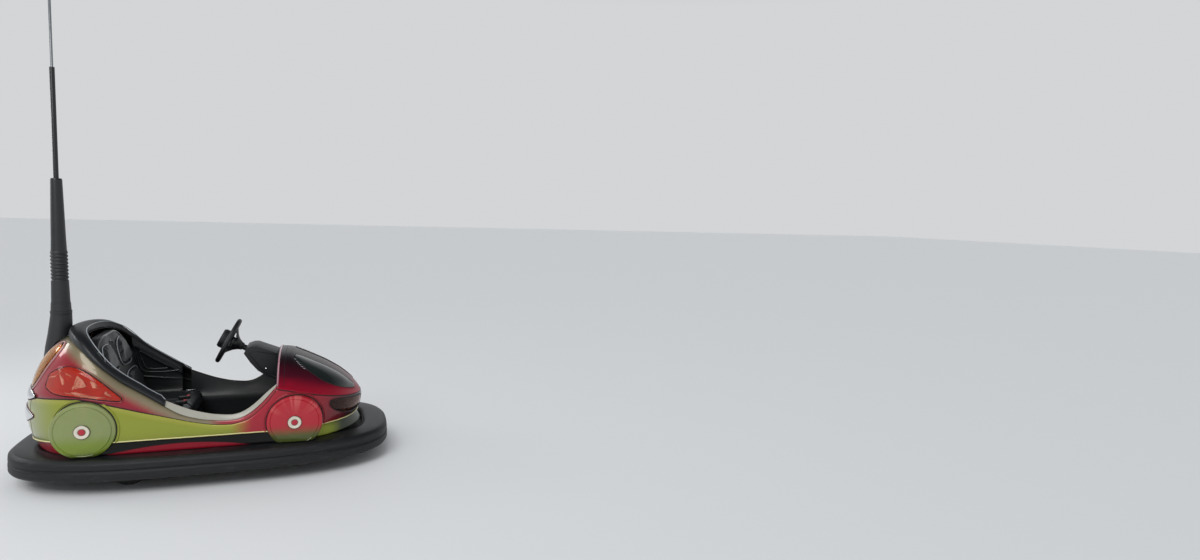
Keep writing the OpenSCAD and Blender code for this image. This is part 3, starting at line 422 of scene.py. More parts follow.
# The skirt's red is a long low arch under the sides, and a full band round the tail. Above it the skirt is
# painted near black as the sill's shade
RED_TOP, RED_MIDDLE, RED_FALL, TAIL_X, TAIL_TOP = 0.234, -0.12, 0.30, -0.55, 0.252
into_painted_sill_shade = skirt.data.attributes.new("into_painted_sill_shade", "FLOAT", "POINT")
for corner, value in zip(skirt.data.vertices, into_painted_sill_shade.data):
    x, _, z = corner.co
    value.value = z - (RED_TOP - RED_FALL * (x - RED_MIDDLE) ** 2 if x > TAIL_X else TAIL_TOP)
body_tree = tree_of(*(made.data for made in (side, tail, hood)))


def smoothed(points, passes):
    """A closed line with its corners eased."""
    for _ in range(passes):
        points = [(points[i - 1] + 2 * p + points[(i + 1) % len(points)]) / 4 for i, p in enumerate(points)]
    return points


def pressed(points, stand, tree=body_tree):
    """Points moved onto a surface and then out of it by a distance."""
    hits = [tree.find_nearest(p) for p in points]
    return [spot + face * stand for spot, face, _, _ in hits]


def bead(name, lines, finish, radius, closed=True, body="chassis"):
    """Round beads along lines of points."""
    drawn = bpy.data.curves.new(name, "CURVE")
    drawn.dimensions = "3D"
    drawn.bevel_depth, drawn.bevel_resolution, drawn.use_fill_caps = radius, 2, True
    for points in lines:
        spline = drawn.splines.new("POLY")
        spline.points.add(len(points) - 1)
        spline.points.foreach_set("co", [c for p in points for c in (*p, 1)])
        spline.use_cyclic_u = closed
    rough = bpy.data.objects.new("rough", drawn)
    bpy.context.scene.collection.objects.link(rough)
    return fitted(place(name, rough, finish), body)


def stepped(points, parts, closed=True):
    """Points set evenly along each stretch of a line."""
    ends = [Vector(p) for p in points]
    pairs = zip(ends, ends[1:] + ends[:1] if closed else ends[1:])
    return [a.lerp(b, k / parts) for a, b in pairs for k in range(parts)] + ([] if closed else ends[-1:])


# Black mastic in the joint between the mouldings. The same black is used as painted shade in the disc gaps
# and the cowl groove
mastic_and_gap_shade = grained("black_mastic_and_gap_shade", "#0E0E10", "#17171A", 0.6, 2, 0.1)
bead("joint_mastic", [pressed(stepped(joint, 8), 0.0008)], mastic_and_gap_shade, radius=0.0028)


def chained(edges, least=20):
    """Closed lines of points from edges that join end to end, in the mesh's order."""
    left, lines = dict.fromkeys(edges), []
    while left:
        step = next(iter(left))
        line = [step.verts[0]]
        while step:
            del left[step]
            line.append(step.other_vert(line[-1]))
            step = next((e for e in line[-1].link_edges if e in left), None)
        if len(line) > least:
            lines.append([v.co.copy() for v in line[:-1]])
    return lines


def cut_across(mesh, x):
    """The outlines where a plane square to the car cuts a mesh."""
    bm = bmesh.new()
    bm.from_mesh(mesh)
    cut = bmesh.ops.bisect_plane(bm, geom=bm.verts[:] + bm.edges[:] + bm.faces[:], plane_co=(x, 0, 0),
                                 plane_no=(1, 0, 0))["geom_cut"]
    lines = chained([e for e in cut if isinstance(e, bmesh.types.BMEdge)], 4)
    bm.free()
    return lines


def turns(steps):
    """Angles of an even round."""
    return [math.tau * k / steps for k in range(steps)]


def lower_edge(mesh, heights, fold, up):
    """The line along a mesh's lower edge, where its fold stands out furthest, all round the car."""
    tree, line = tree_of(mesh), []
    for t in turns(720):
        way = Vector((math.cos(t), math.sin(t), 0))
        casts = [tree.ray_cast(way * 1.6 + Vector((0, 0, mm / 1000)), -way)[0] for mm in heights]
        hits = [spot for spot in casts if spot and spot.xy.dot(way.xy) > 0]
        if hits:
            out = max((p for p in hits if p.z < hits[0].z + fold), key=lambda p: p.xy.length)
            line.append(Vector((out.x, out.y, hits[0].z + up)))
    return line


# Where the tail ends are glued on, a fine groove runs up each side
TAIL_GROOVE_X = -0.852
grooves = [line for made in (side, tail) for line in cut_across(made.data, TAIL_GROOVE_X)]
bead("tail_grooves", grooves, mastic_and_gap_shade, radius=0.0011)

# The sides' lower edge is folded in, and the pale cream line along it is a painted highlight of the fold
sill_highlight_edge = grained("cream_edge_painted_highlight", "#DAD58C", "#C9BF86", 0.3, 2, 0.02, Coat_Weight=0.6)
sill = lower_edge(side.data, range(226, 290, 2), fold=0.011, up=0.003)
bead("sill_line", [smoothed(sill, 24)], sill_highlight_edge, radius=0.0036)


# Rays fall on the hood from a half circle round a middle point. What they meet below its shoulder is cut.
FAN_HEIGHT, FAN, SHOULDER = 0.40, 1.2, 0.505


def arch_line(from_rear, stand):
    """A line over the hood, square to the car, at a distance from its rear edge."""
    middle = Vector((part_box("hood")[0][0] + from_rear, 0, FAN_HEIGHT))
    ways = [Vector((0, math.cos(math.radians(a)), math.sin(math.radians(a)))) for a in range(-3, 184, 3)]
    hits = [body_tree.ray_cast(middle + way * FAN, -way) for way in ways]
    return [spot + face * stand for spot, face, _, _ in hits if spot and spot.z > SHOULDER]


# Rolled rim along the cowl, painted pale as a highlight, and the groove ahead of it
rim_highlight_pearl = grained("pearl_edge_painted_highlight", "#C79AA2", "#A8667A", 0.28, 6, 0.02, Coat_Weight=0.8)
bead("cowl_rim", [arch_line(0.004, 0.001)], rim_highlight_pearl, radius=0.0048, closed=False)
# The groove's shade is painted: the bead in it is black
bead("cowl_groove", [arch_line(0.036, -0.0004)], mastic_and_gap_shade, radius=0.0014, closed=False)

# Wheel discs: dished mouldings bolted over the wheel arches, airbrushed in the same pearl as the sides. A
# gap runs round each, its shade painted as a black bead, and the body behind has a raised arch bead.
GAP_OUT, ARCH_OUT = 0.0025, 0.013


def corners(name):
    """A node's lowest and highest corners."""
    return [Vector(v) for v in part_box(name)]


def disc_middles(name):
    """The radius and the centres of a node's discs, from its box: the discs are cut off below."""
    low, high = corners(name)
    radius = (high.x - low.x) / 2
    return radius, [Vector(((low.x + high.x) / 2, side * high.y, high.z - radius)) for side in (-1, 1)]


def disc_paint(name, centre, top, bottom, low, streaks):
    """Pearl that fades downwards, with pale streaks sprayed from the hub at the top."""
    finish, tree, shader = finish_of(name, top, 0.36, Metallic=0.25, Specular_IOR_Level=0.3,
                                     Coat_Weight=0.75, Coat_Roughness=0.05)
    spot = add_node(tree, "TexCoord").outputs["Object"]
    at_hub = add_node(tree, "Mapping", {"Vector": spot, "Location": (-centre.x, 0, -centre.z)})
    side_on = add_node(tree, "Mapping", {"Vector": at_hub, "Rotation": (math.pi / 2, 0, 0)})
    flat = add_node(tree, "SeparateXYZ", {0: at_hub})
    mist = add_node(tree, "TexNoise", {"Vector": spot, "Scale": 1000 / MIST_MM, "Detail": 3.0})
    height = add_node(tree, "Math", {0: mist, 1: MIST_WIDE, 2: flat.outputs["Z"]}, operation="MULTIPLY_ADD")
    colour = top
    for (start, full), tint in zip(DISC_FADES, (bottom, low)):
        fade = add_node(tree, "MapRange", {"Value": height, "From Min": start, "From Max": full},
                        interpolation_type="SMOOTHSTEP")
        colour = add_node(tree, "Mix", {"Factor": fade, "A": colour, "B": tint}, data_type="RGBA").outputs[2]
    round_hub = add_node(tree, "TexGradient", {"Vector": side_on}, gradient_type="RADIAL")
    ray = add_node(tree, "TexNoise", {"W": round_hub, "Scale": STREAKS_ROUND, "Detail": 3.0},
                   noise_dimensions="1D")
    bright = add_node(tree, "MapRange", {"Value": ray, "From Min": 0.42, "From Max": 0.78},
                      interpolation_type="SMOOTHSTEP")
    over = add_node(tree, "MapRange", {"Value": flat.outputs["Z"], "From Min": STREAK_FROM,
                                       "From Max": STREAK_FULL, "To Max": streaks},
                    interpolation_type="SMOOTHSTEP")
    share = add_node(tree, "Math", {0: bright, 1: over}, operation="MULTIPLY")
    colour = add_node(tree, "Mix", {"Factor": share, "A": colour, "B": PALE_STREAK}, data_type="RGBA")
    tree.links.new(colour.outputs[2], shader.inputs["Base Color"])
    flaked(tree, spot, shader)
    return finish


def ringed(middle, radius):
    """An upright ring on the body's side, from its lowest point: open, where the body ends below it."""
    side_on = Vector((0, math.copysign(1, middle.y), 0))
    ring = [middle + Vector((radius * math.sin(t), 0, -radius * math.cos(t))) for t in turns(120)]
    hits = [side_tree.ray_cast(p + side_on * 0.1, -side_on)[0] for p in ring]
    return [spot for spot in hits if spot]


# Node, colours at the top, at the bottom and along the lowest edge, strength of the streaks
DISCS = [
    ("wheel_discs_front", "#B4182B", "#4E5822", "#2B3612", 0.9),
    ("wheel_discs_rear", "#87925A", "#768B26", "#2A3610", 0.1),
]
# Heights over the hub: where each lower colour starts and is full, and the same for the streaks
DISC_FADES = [(0.005, -0.070), (-0.085, -0.135)]
STREAK_FROM, STREAK_FULL = 0.03, 0.13
STREAKS_ROUND, PALE_STREAK = 17.0, "#E0807A"
side_tree = tree_of(side.data)
for node, *sprayed in DISCS:
    radius, middles = disc_middles(node)
    dress(disc_paint(node.replace("wheel_discs", "airbrushed_disc"), middles[0], *sprayed), node)
    gaps = [ringed(middle, radius + GAP_OUT) for middle in middles]
    bead(node + "_gap", gaps, mastic_and_gap_shade, radius=0.003, closed=False)
    arches = [ringed(middle, radius + ARCH_OUT) for middle in middles]
    mark_paint(bead(node + "_arch", arches, side_pearl, radius=0.0045, closed=False))

# Hub roundels: caps moulded in cream ABS and pushed into the discs. The centre is painted red, and the
# grooves beside the cream ring are painted dark brown and near black.
cap_abs, tree, shader = finish_of("moulded_cap_abs", "#DDD5C0", 0.3, Coat_Weight=0.4)
# Colour of the centre, then of each ring, from where it starts, in metres from the hub
CENTRE = "#B0122C"
RINGS = [(0.0145, "#6A4038"), (0.0185, "#D9D3C3"), (0.033, "#B9B09C"), (0.0355, "#2A2622")]
RING_BLUR = 0.0008
at_hubs = []
spot = add_node(tree, "TexCoord").outputs["Object"]
for node, *_ in DISCS:
    hub = disc_middles(node)[1][0]
    offset = add_node(tree, "VectorMath", {0: spot, 1: (hub.x, 0, hub.z)}, operation="SUBTRACT")
    flat = add_node(tree, "VectorMath", {0: offset, 1: (1, 0, 1)}, operation="MULTIPLY")
    at_hubs.append(add_node(tree, "VectorMath", {0: flat}, operation="LENGTH").outputs["Value"])
away = add_node(tree, "Math", dict(enumerate(at_hubs)), operation="MINIMUM")
colour = CENTRE
for start, tint in RINGS:
    beyond = add_node(tree, "MapRange", {"Value": away, "From Min": start - RING_BLUR,
                                         "From Max": start + RING_BLUR})
    colour = add_node(tree, "Mix", {"Factor": beyond, "A": colour, "B": tint}, data_type="RGBA").outputs[2]
tree.links.new(colour, shader.inputs["Base Color"])
dress(cap_abs, "hub_caps")

# Lamps: dyed acrylic covers over faceted reflectors, glued into recesses with a black seal. A raised lip of
# the body runs round each.
SEAL, SEAL_STAND, LIP_STAND = 0.0028, 0.0012, 0.0004
COVER_WALL = 0.0010


def rims(made):
    """The outlines where pieces meet the body: the edges round the faces that look at it."""
    bm = bmesh.new()
    bm.from_mesh(made.data)
    below = {f for f in bm.faces if f.normal.dot(body_tree.find_nearest(f.calc_center_median())[1]) < -0.6}
    lines = chained([e for e in bm.edges if sum(f in below for f in e.link_faces) == 1])
    bm.free()
    return lines


def widened(line, by):
    """A closed outline moved outwards along the body."""
    middle = sum(line, Vector()) / len(line)
    moved = []
    for i, p in enumerate(line):
        along = (line[(i + 1) % len(line)] - line[i - 1]).normalized()
        out = along.cross(body_tree.find_nearest(p)[1])
        moved.append(p + out.normalized() * (by if out.dot(p - middle) > 0 else -by))
    return moved


def framed(made, lip_paint, seal_out=0.001, lip_out=0.008, lip=0.004):
    """The black seal round a piece on the body, and the body's raised lip. Gives the piece's outlines."""
    lines = [smoothed(line, 3) for line in rims(made)]
    seals = [pressed(widened(line, seal_out), SEAL_STAND) for line in lines]
    bead(made.name + "_seal", seals, mastic_and_gap_shade, radius=SEAL)
    lips = [pressed(smoothed(widened(line, lip_out), 4), LIP_STAND) for line in lines]
    mark_paint(bead(made.name + "_lip", lips, lip_paint, radius=lip))
    return lines


def hollowed(made):
    """Turns a solid cover to a thin closed shell, so that light reaches what is under it."""
    walls = made.modifiers.new("wall", "SOLIDIFY")
    walls.thickness, walls.offset = COVER_WALL, -1
    made.data = applied(made)
    made.modifiers.clear()


def acrylic(name, colour):
    """Clear dyed acrylic: its colour comes from the light that goes through it."""
    return finish_of(name, colour, 0.04, IOR=1.3, Transmission_Weight=1.0)[0]


def at_share(low, high, outline, along, across):
    """A point over the body at a share of a side lamp's length and of its height there."""
    x = low.x + (high.x - low.x) * along
    near = sorted(outline, key=lambda p: abs(p.x - x))[:NEAR_POINTS]
    floor, top = min(p.z for p in near), max(p.z for p in near)
    return Vector((x, near[0].y, floor + (top - floor) * across))


NEAR_POINTS = 12
PLATE_STAND, PLATE_THICK, TRAY_FACET = 0.0014, 0.0012, 0.02
# Reflector plates of a side lamp: corners as shares of its length, from the rear, and of its height
PLATES = [
    [(0.05, 0.72), (0.1, 0.86), (0.16, 0.9), (0.13, 0.74), (0.08, 0.66)],
    [(0.19, 0.9), (0.27, 0.86), (0.4, 0.66), (0.34, 0.4), (0.24, 0.4)],
    [(0.46, 0.72), (0.53, 0.62), (0.58, 0.42), (0.5, 0.32), (0.38, 0.27)],
    [(0.62, 0.64), (0.68, 0.66), (0.74, 0.5), (0.66, 0.42)],
    [(0.3, 0.12), (0.48, 0.2), (0.7, 0.12), (0.86, 0.22), (0.7, 0.06), (0.45, 0.06)],
    [(0.8, 0.5), (0.86, 0.46), (0.88, 0.3), (0.8, 0.32)],
]
# The plates are not metal: their pale pink white is a painted reflection of plated facets
plates_painted_reflection = grained("reflector_plates_painted_reflection", "#FFE9E0", "#F2BFAE", 0.2, 30, 0.1)
ruby = grained("ribbed_red_reflector", "#FF4512", "#C8240A", 0.25, 26, 0.6)
side_lens = shell("side_lens", acrylic("red_acrylic", "#FFDDD0"), "red_lens", "side_lenses", degrees=50)


def tray_under(name, node, finish, depth):
    """The moulded back of a lamp: a thin copy of its solid, close to the body. Gives its tree."""
    bm = merged_copy(node)
    bmesh.ops.subdivide_edges(bm, edges=[e for e in bm.edges if e.calc_length() > TRAY_FACET], cuts=3,
                              use_grid_fill=True)
    tray = fitted(place(name, bm, finish, smooth=False))
    for corner in tray.data.vertices:
        spot, face, _, away = body_tree.find_nearest(corner.co)
        corner.co = spot + face * min(away, depth)
    return tree_of(tray.data)


side_tray = tray_under("side_lamp_tray", "side_lenses", ruby, 0.0015)
outlines = framed(side_lens, tail_pearl)
bm = bmesh.new()
for outline in outlines:
    low = Vector(min(p[k] for p in outline) for k in range(3))
    high = Vector(max(p[k] for p in outline) for k in range(3))
    for plate in PLATES:
        one = bmesh.new()
        face = one.faces.new([one.verts.new(at_share(low, high, outline, *corner)) for corner in plate])
        bmesh.ops.poke(one, faces=[face])
        bmesh.ops.subdivide_edges(one, edges=one.edges[:], cuts=4, use_grid_fill=True)
        for corner in one.verts:
            spot, face, _, _ = side_tray.find_nearest(corner.co)
            corner.co = spot + face * PLATE_STAND
        bmesh.ops.solidify(one, geom=one.faces[:], thickness=PLATE_THICK)
        bm.from_mesh(mesh_of("plate", one))
bmesh.ops.recalc_face_normals(bm, faces=bm.faces)
fitted(place("side_reflectors", bm, plates_painted_reflection, smooth=False))
hollowed(side_lens)

# Tail lamps: amber ovals with a deeply ribbed reflector, under a raised lid of the body painted pale as a
# highlight
amber = acrylic("amber_acrylic", "#FFDFA8")
tail_cover = shell("tail_lamp_cover", amber, "amber_lens", "tail_lamps", degrees=50)
eyelid_highlight = grained("eyelid_pearl_painted_highlight", "#B98B86", "#9C5A62", 0.3, 14, 0.02, Coat_Weight=0.8)
framed(tail_cover, eyelid_highlight, lip=0.0062, lip_out=0.010)
gold = grained("ribbed_amber_reflector", "#D39A3C", "#8A4E1C", 0.2, 34, 1.5, Metallic=0.8)
tray_under("tail_lamp_tray", "tail_lamps", gold, 0.0035)
hollowed(tail_cover)

# Headlamps: a smoked cover over a bare brown bowl, with three bright arcs of a reflector's rings
smoked = acrylic("smoked_acrylic", "#C29A88")
headlamp = shell("headlamp_cover", smoked, "smoked_lens", "headlamps", degrees=50)
outlines = framed(headlamp, side_pearl, lip=0.002, lip_out=0.006)
bowl_brown = grained("bare_lamp_bowl", "#5C3328", "#2C1612", 0.25, 30, 0.3, Coat_Weight=0.5)
bowl_tree = tray_under("headlamp_bowl", "headlamps", bowl_brown, 0.0007)
chrome = finish_of("chrome_plated_abs", "#D9DBDD", 0.07, Metallic=1.0)[0]
# Each arc's place from the lamp's middle, along it and across it, and its radius
ARCS = [(-0.035, 0.035, 0.022), (0.03, 0.03, 0.017), (0.03, 0.03, 0.010)]
ARC_ANGLES = [math.radians(20 + 14 * k) for k in range(19)]
arcs = []
for outline in outlines:
    middle = sum(outline, Vector()) / len(outline)
    inwards = -math.copysign(0.6, middle.y)
    for along, across, reach in ARCS:
        swept = [(reach * math.cos(t), reach * math.sin(t)) for t in ARC_ANGLES]
        line = [middle + Vector((0.8 * (along + a), inwards * (across + a), 0.75 * b)) for a, b in swept]
        arcs.append(pressed(line, 0.0002, bowl_tree))
bead("headlamp_arcs", arcs, chrome, radius=0.0014, closed=False)
hollowed(headlamp)

# Hood flanks: glossy dark acrylic panels let into the hood. The body's lip runs round each, and a row of
# plated teeth is set along the rear edge.
dark_acrylic = finish_of("dark_glossy_acrylic", "#131A17", 0.06, Coat_Weight=0.6, Coat_Roughness=0.02)[0]
window = shell("hood_window", dark_acrylic, "dark_panel", "hood_panels", degrees=50)
outlines = framed(window, hood_pearl, lip=0.0026, lip_out=0.005)
TEETH_SPAN, TEETH_OUT, TEETH_APART, TOOTH_HALF = 0.062, 0.011, 0.015, Vector((0.006, 0, -0.003))
teeth = []
# The teeth are on the lower edge of each panel's rear end, where more of the outline is above
for outline in outlines:
    rear = min(p.x for p in outline)
    foot = [outer for p, outer in zip(outline, widened(outline, TEETH_OUT)) if p.x < rear + TEETH_SPAN
            and any(abs(q.x - p.x) < 0.004 and q.z > p.z + 0.012 for q in outline)]
    last = None
    for p in sorted(pressed(foot, 0.001), key=lambda p: -p.z):
        if last is None or (p - last).length > TEETH_APART:
            teeth.append(pressed([p - TOOTH_HALF, p, p + TOOTH_HALF], 0.0008))
            last = p
bead("hood_teeth", teeth, chrome, radius=0.0028, closed=False)

# Tail bars: two flame-pointed bars of chrome-plated ABS, one above the other, clipped across the tail. A
# dark seal shows round each.
bars = shell("tail_chrome", chrome, "chrome_bar", "tail_bars")
framed(bars, tail_pearl, seal_out=0.003, lip=0.0015, lip_out=0.006)

# Door trim: a pale grey PVC extrusion, bent to the low edge on each side and clipped over it. Its skin is
# smooth and a little glossy.
trim_pvc = grained("extruded_trim_pvc", "#B4B2A8", "#9C998D", 0.34, 2, 0.05, Coat_Weight=0.3)
shell("door_band", trim_pvc, "door_trim_plastic", "door_trim")

# Coaming: rolls of firm self-skinned foam with a black vinyl grain, butted together and screwed to the
# body's rim from inside. A pale PVC piping is pinched along the inner edge.
pad_vinyl = grained("self_skinned_foam_vinyl", "#121417", "#1A1D21", 0.4, 1.2, 0.12)
coaming = shell("coaming_roll", pad_vinyl, "pad_vinyl", "coaming_pad")
PAD_JOINT_X = -0.53
bead("coaming_joints", cut_across(coaming.data, PAD_JOINT_X), mastic_and_gap_shade, radius=0.0010)


WAY_DEGREES = 2.0
COCKPIT_MIDDLE = Vector((-0.12, 0))


def innermost(mesh, wall, drop):
    """The line over a mesh's inner wall, a little under its top, from one front end round to the other."""
    near = {}
    for corner in mesh.vertices:
        out = corner.co.xy - COCKPIT_MIDDLE
        near.setdefault(round(math.degrees(math.atan2(out.y, out.x)) / WAY_DEGREES), []).append(corner.co)
    line = []
    for way in sorted(near, key=lambda w: w if w > 0 else w + 360 / WAY_DEGREES):
        inner = min(near[way], key=lambda p: (p.xy - COCKPIT_MIDDLE).length)
        limit = (inner.xy - COCKPIT_MIDDLE).length + wall
        top = max(p.z for p in near[way] if (p.xy - COCKPIT_MIDDLE).length < limit)
        line.append(Vector((inner.x, inner.y, top - drop)))
    return line


PIPING = 0.0024
piping = grained("grey_pvc_piping", "#AEB3B8", "#92979C", 0.35, 2, 0.03, Coat_Weight=0.4)
pad_edge = innermost(coaming.data, wall=0.012, drop=0.004)
pad_edge = pad_edge[:1] + smoothed(pad_edge, 3)[2:-2] + pad_edge[-1:]
bead("coaming_piping", [pad_edge], piping, radius=PIPING, closed=False)

# Cockpit walls, dash and seat shell: vacuum-formed black ABS with a fine haircell grain, screwed to the
# mouldings. The walls have raised pocket borders and an armrest ledge, rubbed smooth by hands and sleeves.
black_abs = grained("haircell_black_abs", "#121416", "#1A1C1E", 0.42, 1.2, 0.08)
shell("inner_panels", black_abs, "liner_plastic", "side_liners")
liner_tree = tree_of(nodes["side_liners"].data)


def drawn_on(side_sign, points, closed, stand):
    """A line on an inner side wall, from a few points along the car and in height."""
    hits = [liner_tree.ray_cast(Vector((x, 0, z)), Vector((0, side_sign, 0)))
            for x, z in stepped(points, 6, closed)]
    return [spot + face * stand for spot, face, _, _ in hits if spot]


# The panels' raised pocket border and armrest ledge, by distance along the car and height
POCKET = [(-0.50, 0.655), (-0.392, 0.580), (-0.262, 0.488), (-0.250, 0.470), (-0.341, 0.462),
          (-0.440, 0.468), (-0.468, 0.494), (-0.487, 0.575)]
POCKET_IN = [(-0.478, 0.618), (-0.392, 0.552), (-0.310, 0.498), (-0.316, 0.485), (-0.394, 0.484),
             (-0.440, 0.490)]
LEDGE = [(-0.46, 0.440), (-0.34, 0.424), (-0.20, 0.408)]
borders, ledges = [], []
for side_sign in (1, -1):
    for loop in (POCKET, POCKET_IN):
        borders.append(smoothed(drawn_on(side_sign, loop, True, 0.001), 3))
    ledges.append(drawn_on(side_sign, LEDGE, False, -0.001))
polished_abs = grained("polished_black_abs", "#1D2023", "#24282B", 0.28, 3, 0.03, Coat_Weight=0.4)
bead("pocket_borders", borders, polished_abs, radius=0.0042)
bead("armrest_ledges", ledges, polished_abs, radius=0.0085, closed=False)
seat_shell = shell("seat_shell", black_abs, "back_plastic", "seat_back")
dress(black_abs, "dash_panel", "seat_base")

# Seat cushion: one upholstered bench, sewn in black vinyl over foam, with a channel between the two places.
# The vinyl has a pebbled grain, creases where it is sat on, and a shine that comes and goes.
vinyl, tree, shader = finish_of("grained_black_vinyl", "#15171A", 0.44, Coat_Weight=0.15)
spot = add_node(tree, "TexCoord").outputs["Object"]
# The real pebbles are about 1 mm across and are drawn coarser, so that they show
PEBBLE_MM, FOLD_MM = 2.2, 60
pebble = add_node(tree, "TexVoronoi", {"Vector": spot, "Scale": 1000 / PEBBLE_MM}, feature="SMOOTH_F1")
leather = add_node(tree, "Bump", {"Height": pebble, "Distance": 0.00035, "Strength": 0.5})
fold = add_node(tree, "TexNoise", {"Vector": spot, "Scale": 1000 / FOLD_MM, "Detail": 4.0})
creased = add_node(tree, "Bump", {"Height": fold, "Distance": 0.004, "Strength": 0.35,
                                  "Normal": leather.outputs["Normal"]})
tree.links.new(creased.outputs["Normal"], shader.inputs["Normal"])
shine = add_node(tree, "MapRange", {"Value": fold, "From Min": 0.35, "From Max": 0.7, "To Min": 0.36,
                                    "To Max": 0.55})
tree.links.new(shine.outputs[0], shader.inputs["Roughness"])


PRESSURE, CLOTH_STEPS = 4.0, 20


def inflated(name, bm, cap, voxel, fixed=lambda p: False):
    """A stuffed piece: the closed form is remeshed and swollen as cloth, and its points move only so far."""
    rough = bpy.data.objects.new("rough", mesh_of("rough", bm))
    bpy.context.scene.collection.objects.link(rough)
    skin = rough.modifiers.new("remesh", "REMESH")
    skin.mode, skin.voxel_size = "VOXEL", voxel
    pad = place(name, rough, vinyl)
    start = [v.co.copy() for v in pad.data.vertices]
    held = pad.vertex_groups.new(name="held")
    held.add([i for i, p in enumerate(start) if fixed(p)], 1.0, "REPLACE")
    cloth = pad.modifiers.new("cloth", "CLOTH")
    cloth.settings.quality = 5
    cloth.settings.use_pressure = True
    cloth.settings.uniform_pressure_force = PRESSURE
    cloth.settings.vertex_group_mass = "held"
    cloth.settings.effector_weights.gravity = 0
    for k in range(CLOTH_STEPS):
        bpy.context.scene.frame_set(k + 1)
    swollen = pad.evaluated_get(bpy.context.evaluated_depsgraph_get()).data
    moved = [v.co.copy() for v in swollen.vertices]
    pad.modifiers.clear()
    bpy.context.scene.frame_set(1)
    for corner, a, b in zip(pad.data.vertices, start, moved):
        step = b - a
        corner.co = a + step * min(1.0, cap / max(step.length, 1e-9))
    fine = pad.modifiers.new("subdivision", "SUBSURF")
    fine.levels = fine.render_levels = 1
    pad.data = applied(pad)
    pad.modifiers.clear()
    pad.data.shade_smooth()
    fitted(pad)
    return pad


CUSHION_IN, CUSHION_HELD, CUSHION_TOP = 0.009, 0.02, 0.03
low, high = corners("seat_cushion")
middle = (low + high) / 2
bm = merged_copy("seat_cushion")
for corner in bm.verts:
    for k in range(3):
        inwards = middle[k] - corner.co[k]
        corner.co[k] += math.copysign(min(CUSHION_IN, abs(inwards)), inwards)
cushion = inflated("bench_cushion", bm, 0.011, 0.006, fixed=lambda p: p.z < low.z + CUSHION_HELD)
CHANNEL_WIDE, CHANNEL_DEEP = 0.012, 0.014
for corner in cushion.data.vertices:
    share = max(0.0, 1 - abs(corner.co.y) / CHANNEL_WIDE)
    if corner.co.z > low.z + CUSHION_TOP:
        corner.co.z -= CHANNEL_DEEP * share * share * (3 - 2 * share)
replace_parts(cushion, "seat_cushion")
cushion_tree = tree_of(cushion.data)

# Back and head-rest pads: foam in the same vinyl, sewn round with pale piping and screwed to the seat shell.
# Each is a square with rounded sides, and the head rests narrow towards the top.
shell_tree = tree_of(seat_shell.data)
FORWARD = Vector((1, 0, 0))
SUNK, PAD_MIDDLE = 0.006, 0.163
# Name, middle height, half height, half width at the foot and at the top, thickness, share of PAD_MIDDLE
PADS = [("back", 0.455, 0.085, 0.145, 0.140, 0.0132, 1.0),
        ("head", 0.655, 0.080, 0.120, 0.075, 0.012, 0.85)]


def eased(value, power):
    """A share of a round, pushed out towards a square's."""
    return math.copysign(abs(value) ** power, value)


def slab(outline, back, front):
    """A closed plate from an outline on the seat's face, sunk into it and standing out of it."""
    bm = bmesh.new()
    face = bm.faces.new([bm.verts.new(p - FORWARD * back) for p in outline])
    grown = bmesh.ops.extrude_face_region(bm, geom=[face])["geom"]
    outer = [g for g in grown if isinstance(g, bmesh.types.BMVert)]
    bmesh.ops.translate(bm, vec=FORWARD * (back + front), verts=outer)
    bmesh.ops.recalc_face_normals(bm, faces=bm.faces)
    return bm


for name, height, half_high, foot, top, thick, in_from in PADS:
    for side_name, side_sign in (("left", 1), ("right", -1)):
        edge = []
        for t in turns(48):
            across, up = eased(math.cos(t), 0.6), eased(math.sin(t), 0.7)
            y = side_sign * PAD_MIDDLE * in_from + across * (foot + (top - foot) * (up + 1) / 2)
            edge.append(shell_tree.ray_cast(Vector((0, y, height + up * half_high)), -FORWARD)[0])
        edge = [p for p in edge if p]
        inflated("%s_pad_%s" % (name, side_name), slab(edge, SUNK, thick), 0.010, 0.005)
        seam = [p + FORWARD * SUNK for p in edge]
        bead("%s_piping_%s" % (name, side_name), [seam], piping, radius=PIPING)
# The shell's polished top roll, by width and height, and the recess between the head rests, lined with a
# near black sheet as painted shade
SEAT_EDGE = [(0.347, 0.56), (0.331, 0.62), (0.295, 0.68), (0.255, 0.72), (0.200, 0.755), (0.150, 0.768),
             (0.075, 0.772)]
FACE_X, FACE_Z, FACE_LEAN = -0.420, 0.352, math.tan(math.radians(17))
arch = SEAT_EDGE + [(0.0, 0.773)] + [(-w, z) for w, z in reversed(SEAT_EDGE)]
roll = [shell_tree.find_nearest(Vector((FACE_X - (z - FACE_Z) * FACE_LEAN, y, z)))[0]
        for y, z in stepped(arch, 4, closed=False)[:-1]]
bead("seat_roll", [smoothed(roll, 4)], polished_abs, radius=0.0062, closed=False)
RECESS = [(0.030, 0.735), (0.040, 0.655), (0.034, 0.590), (-0.034, 0.590), (-0.040, 0.655), (-0.030, 0.735)]
edge = [shell_tree.ray_cast(Vector((0, y, z)), -FORWARD)[0] for y, z in stepped(RECESS, 5)]
recess_painted_shade = grained("near_black_painted_shade", "#050506", "#0A0A0B", 0.7, 3, 0.1)
fitted(place("seat_recess", slab(edge, -0.0006, 0.0014), recess_painted_shade, smooth=False))
bead("recess_border", [smoothed(edge, 2)], polished_abs, radius=0.0036)

# Lap belts: woven polyester webbing, bolted behind the cushion and laid over it, with a plated tongue or a
# moulded buckle at the end.
webbing, tree, shader = finish_of("woven_black_webbing", "#121315", 0.65, Sheen_Weight=0.06)
spot = add_node(tree, "TexCoord").outputs["Object"]
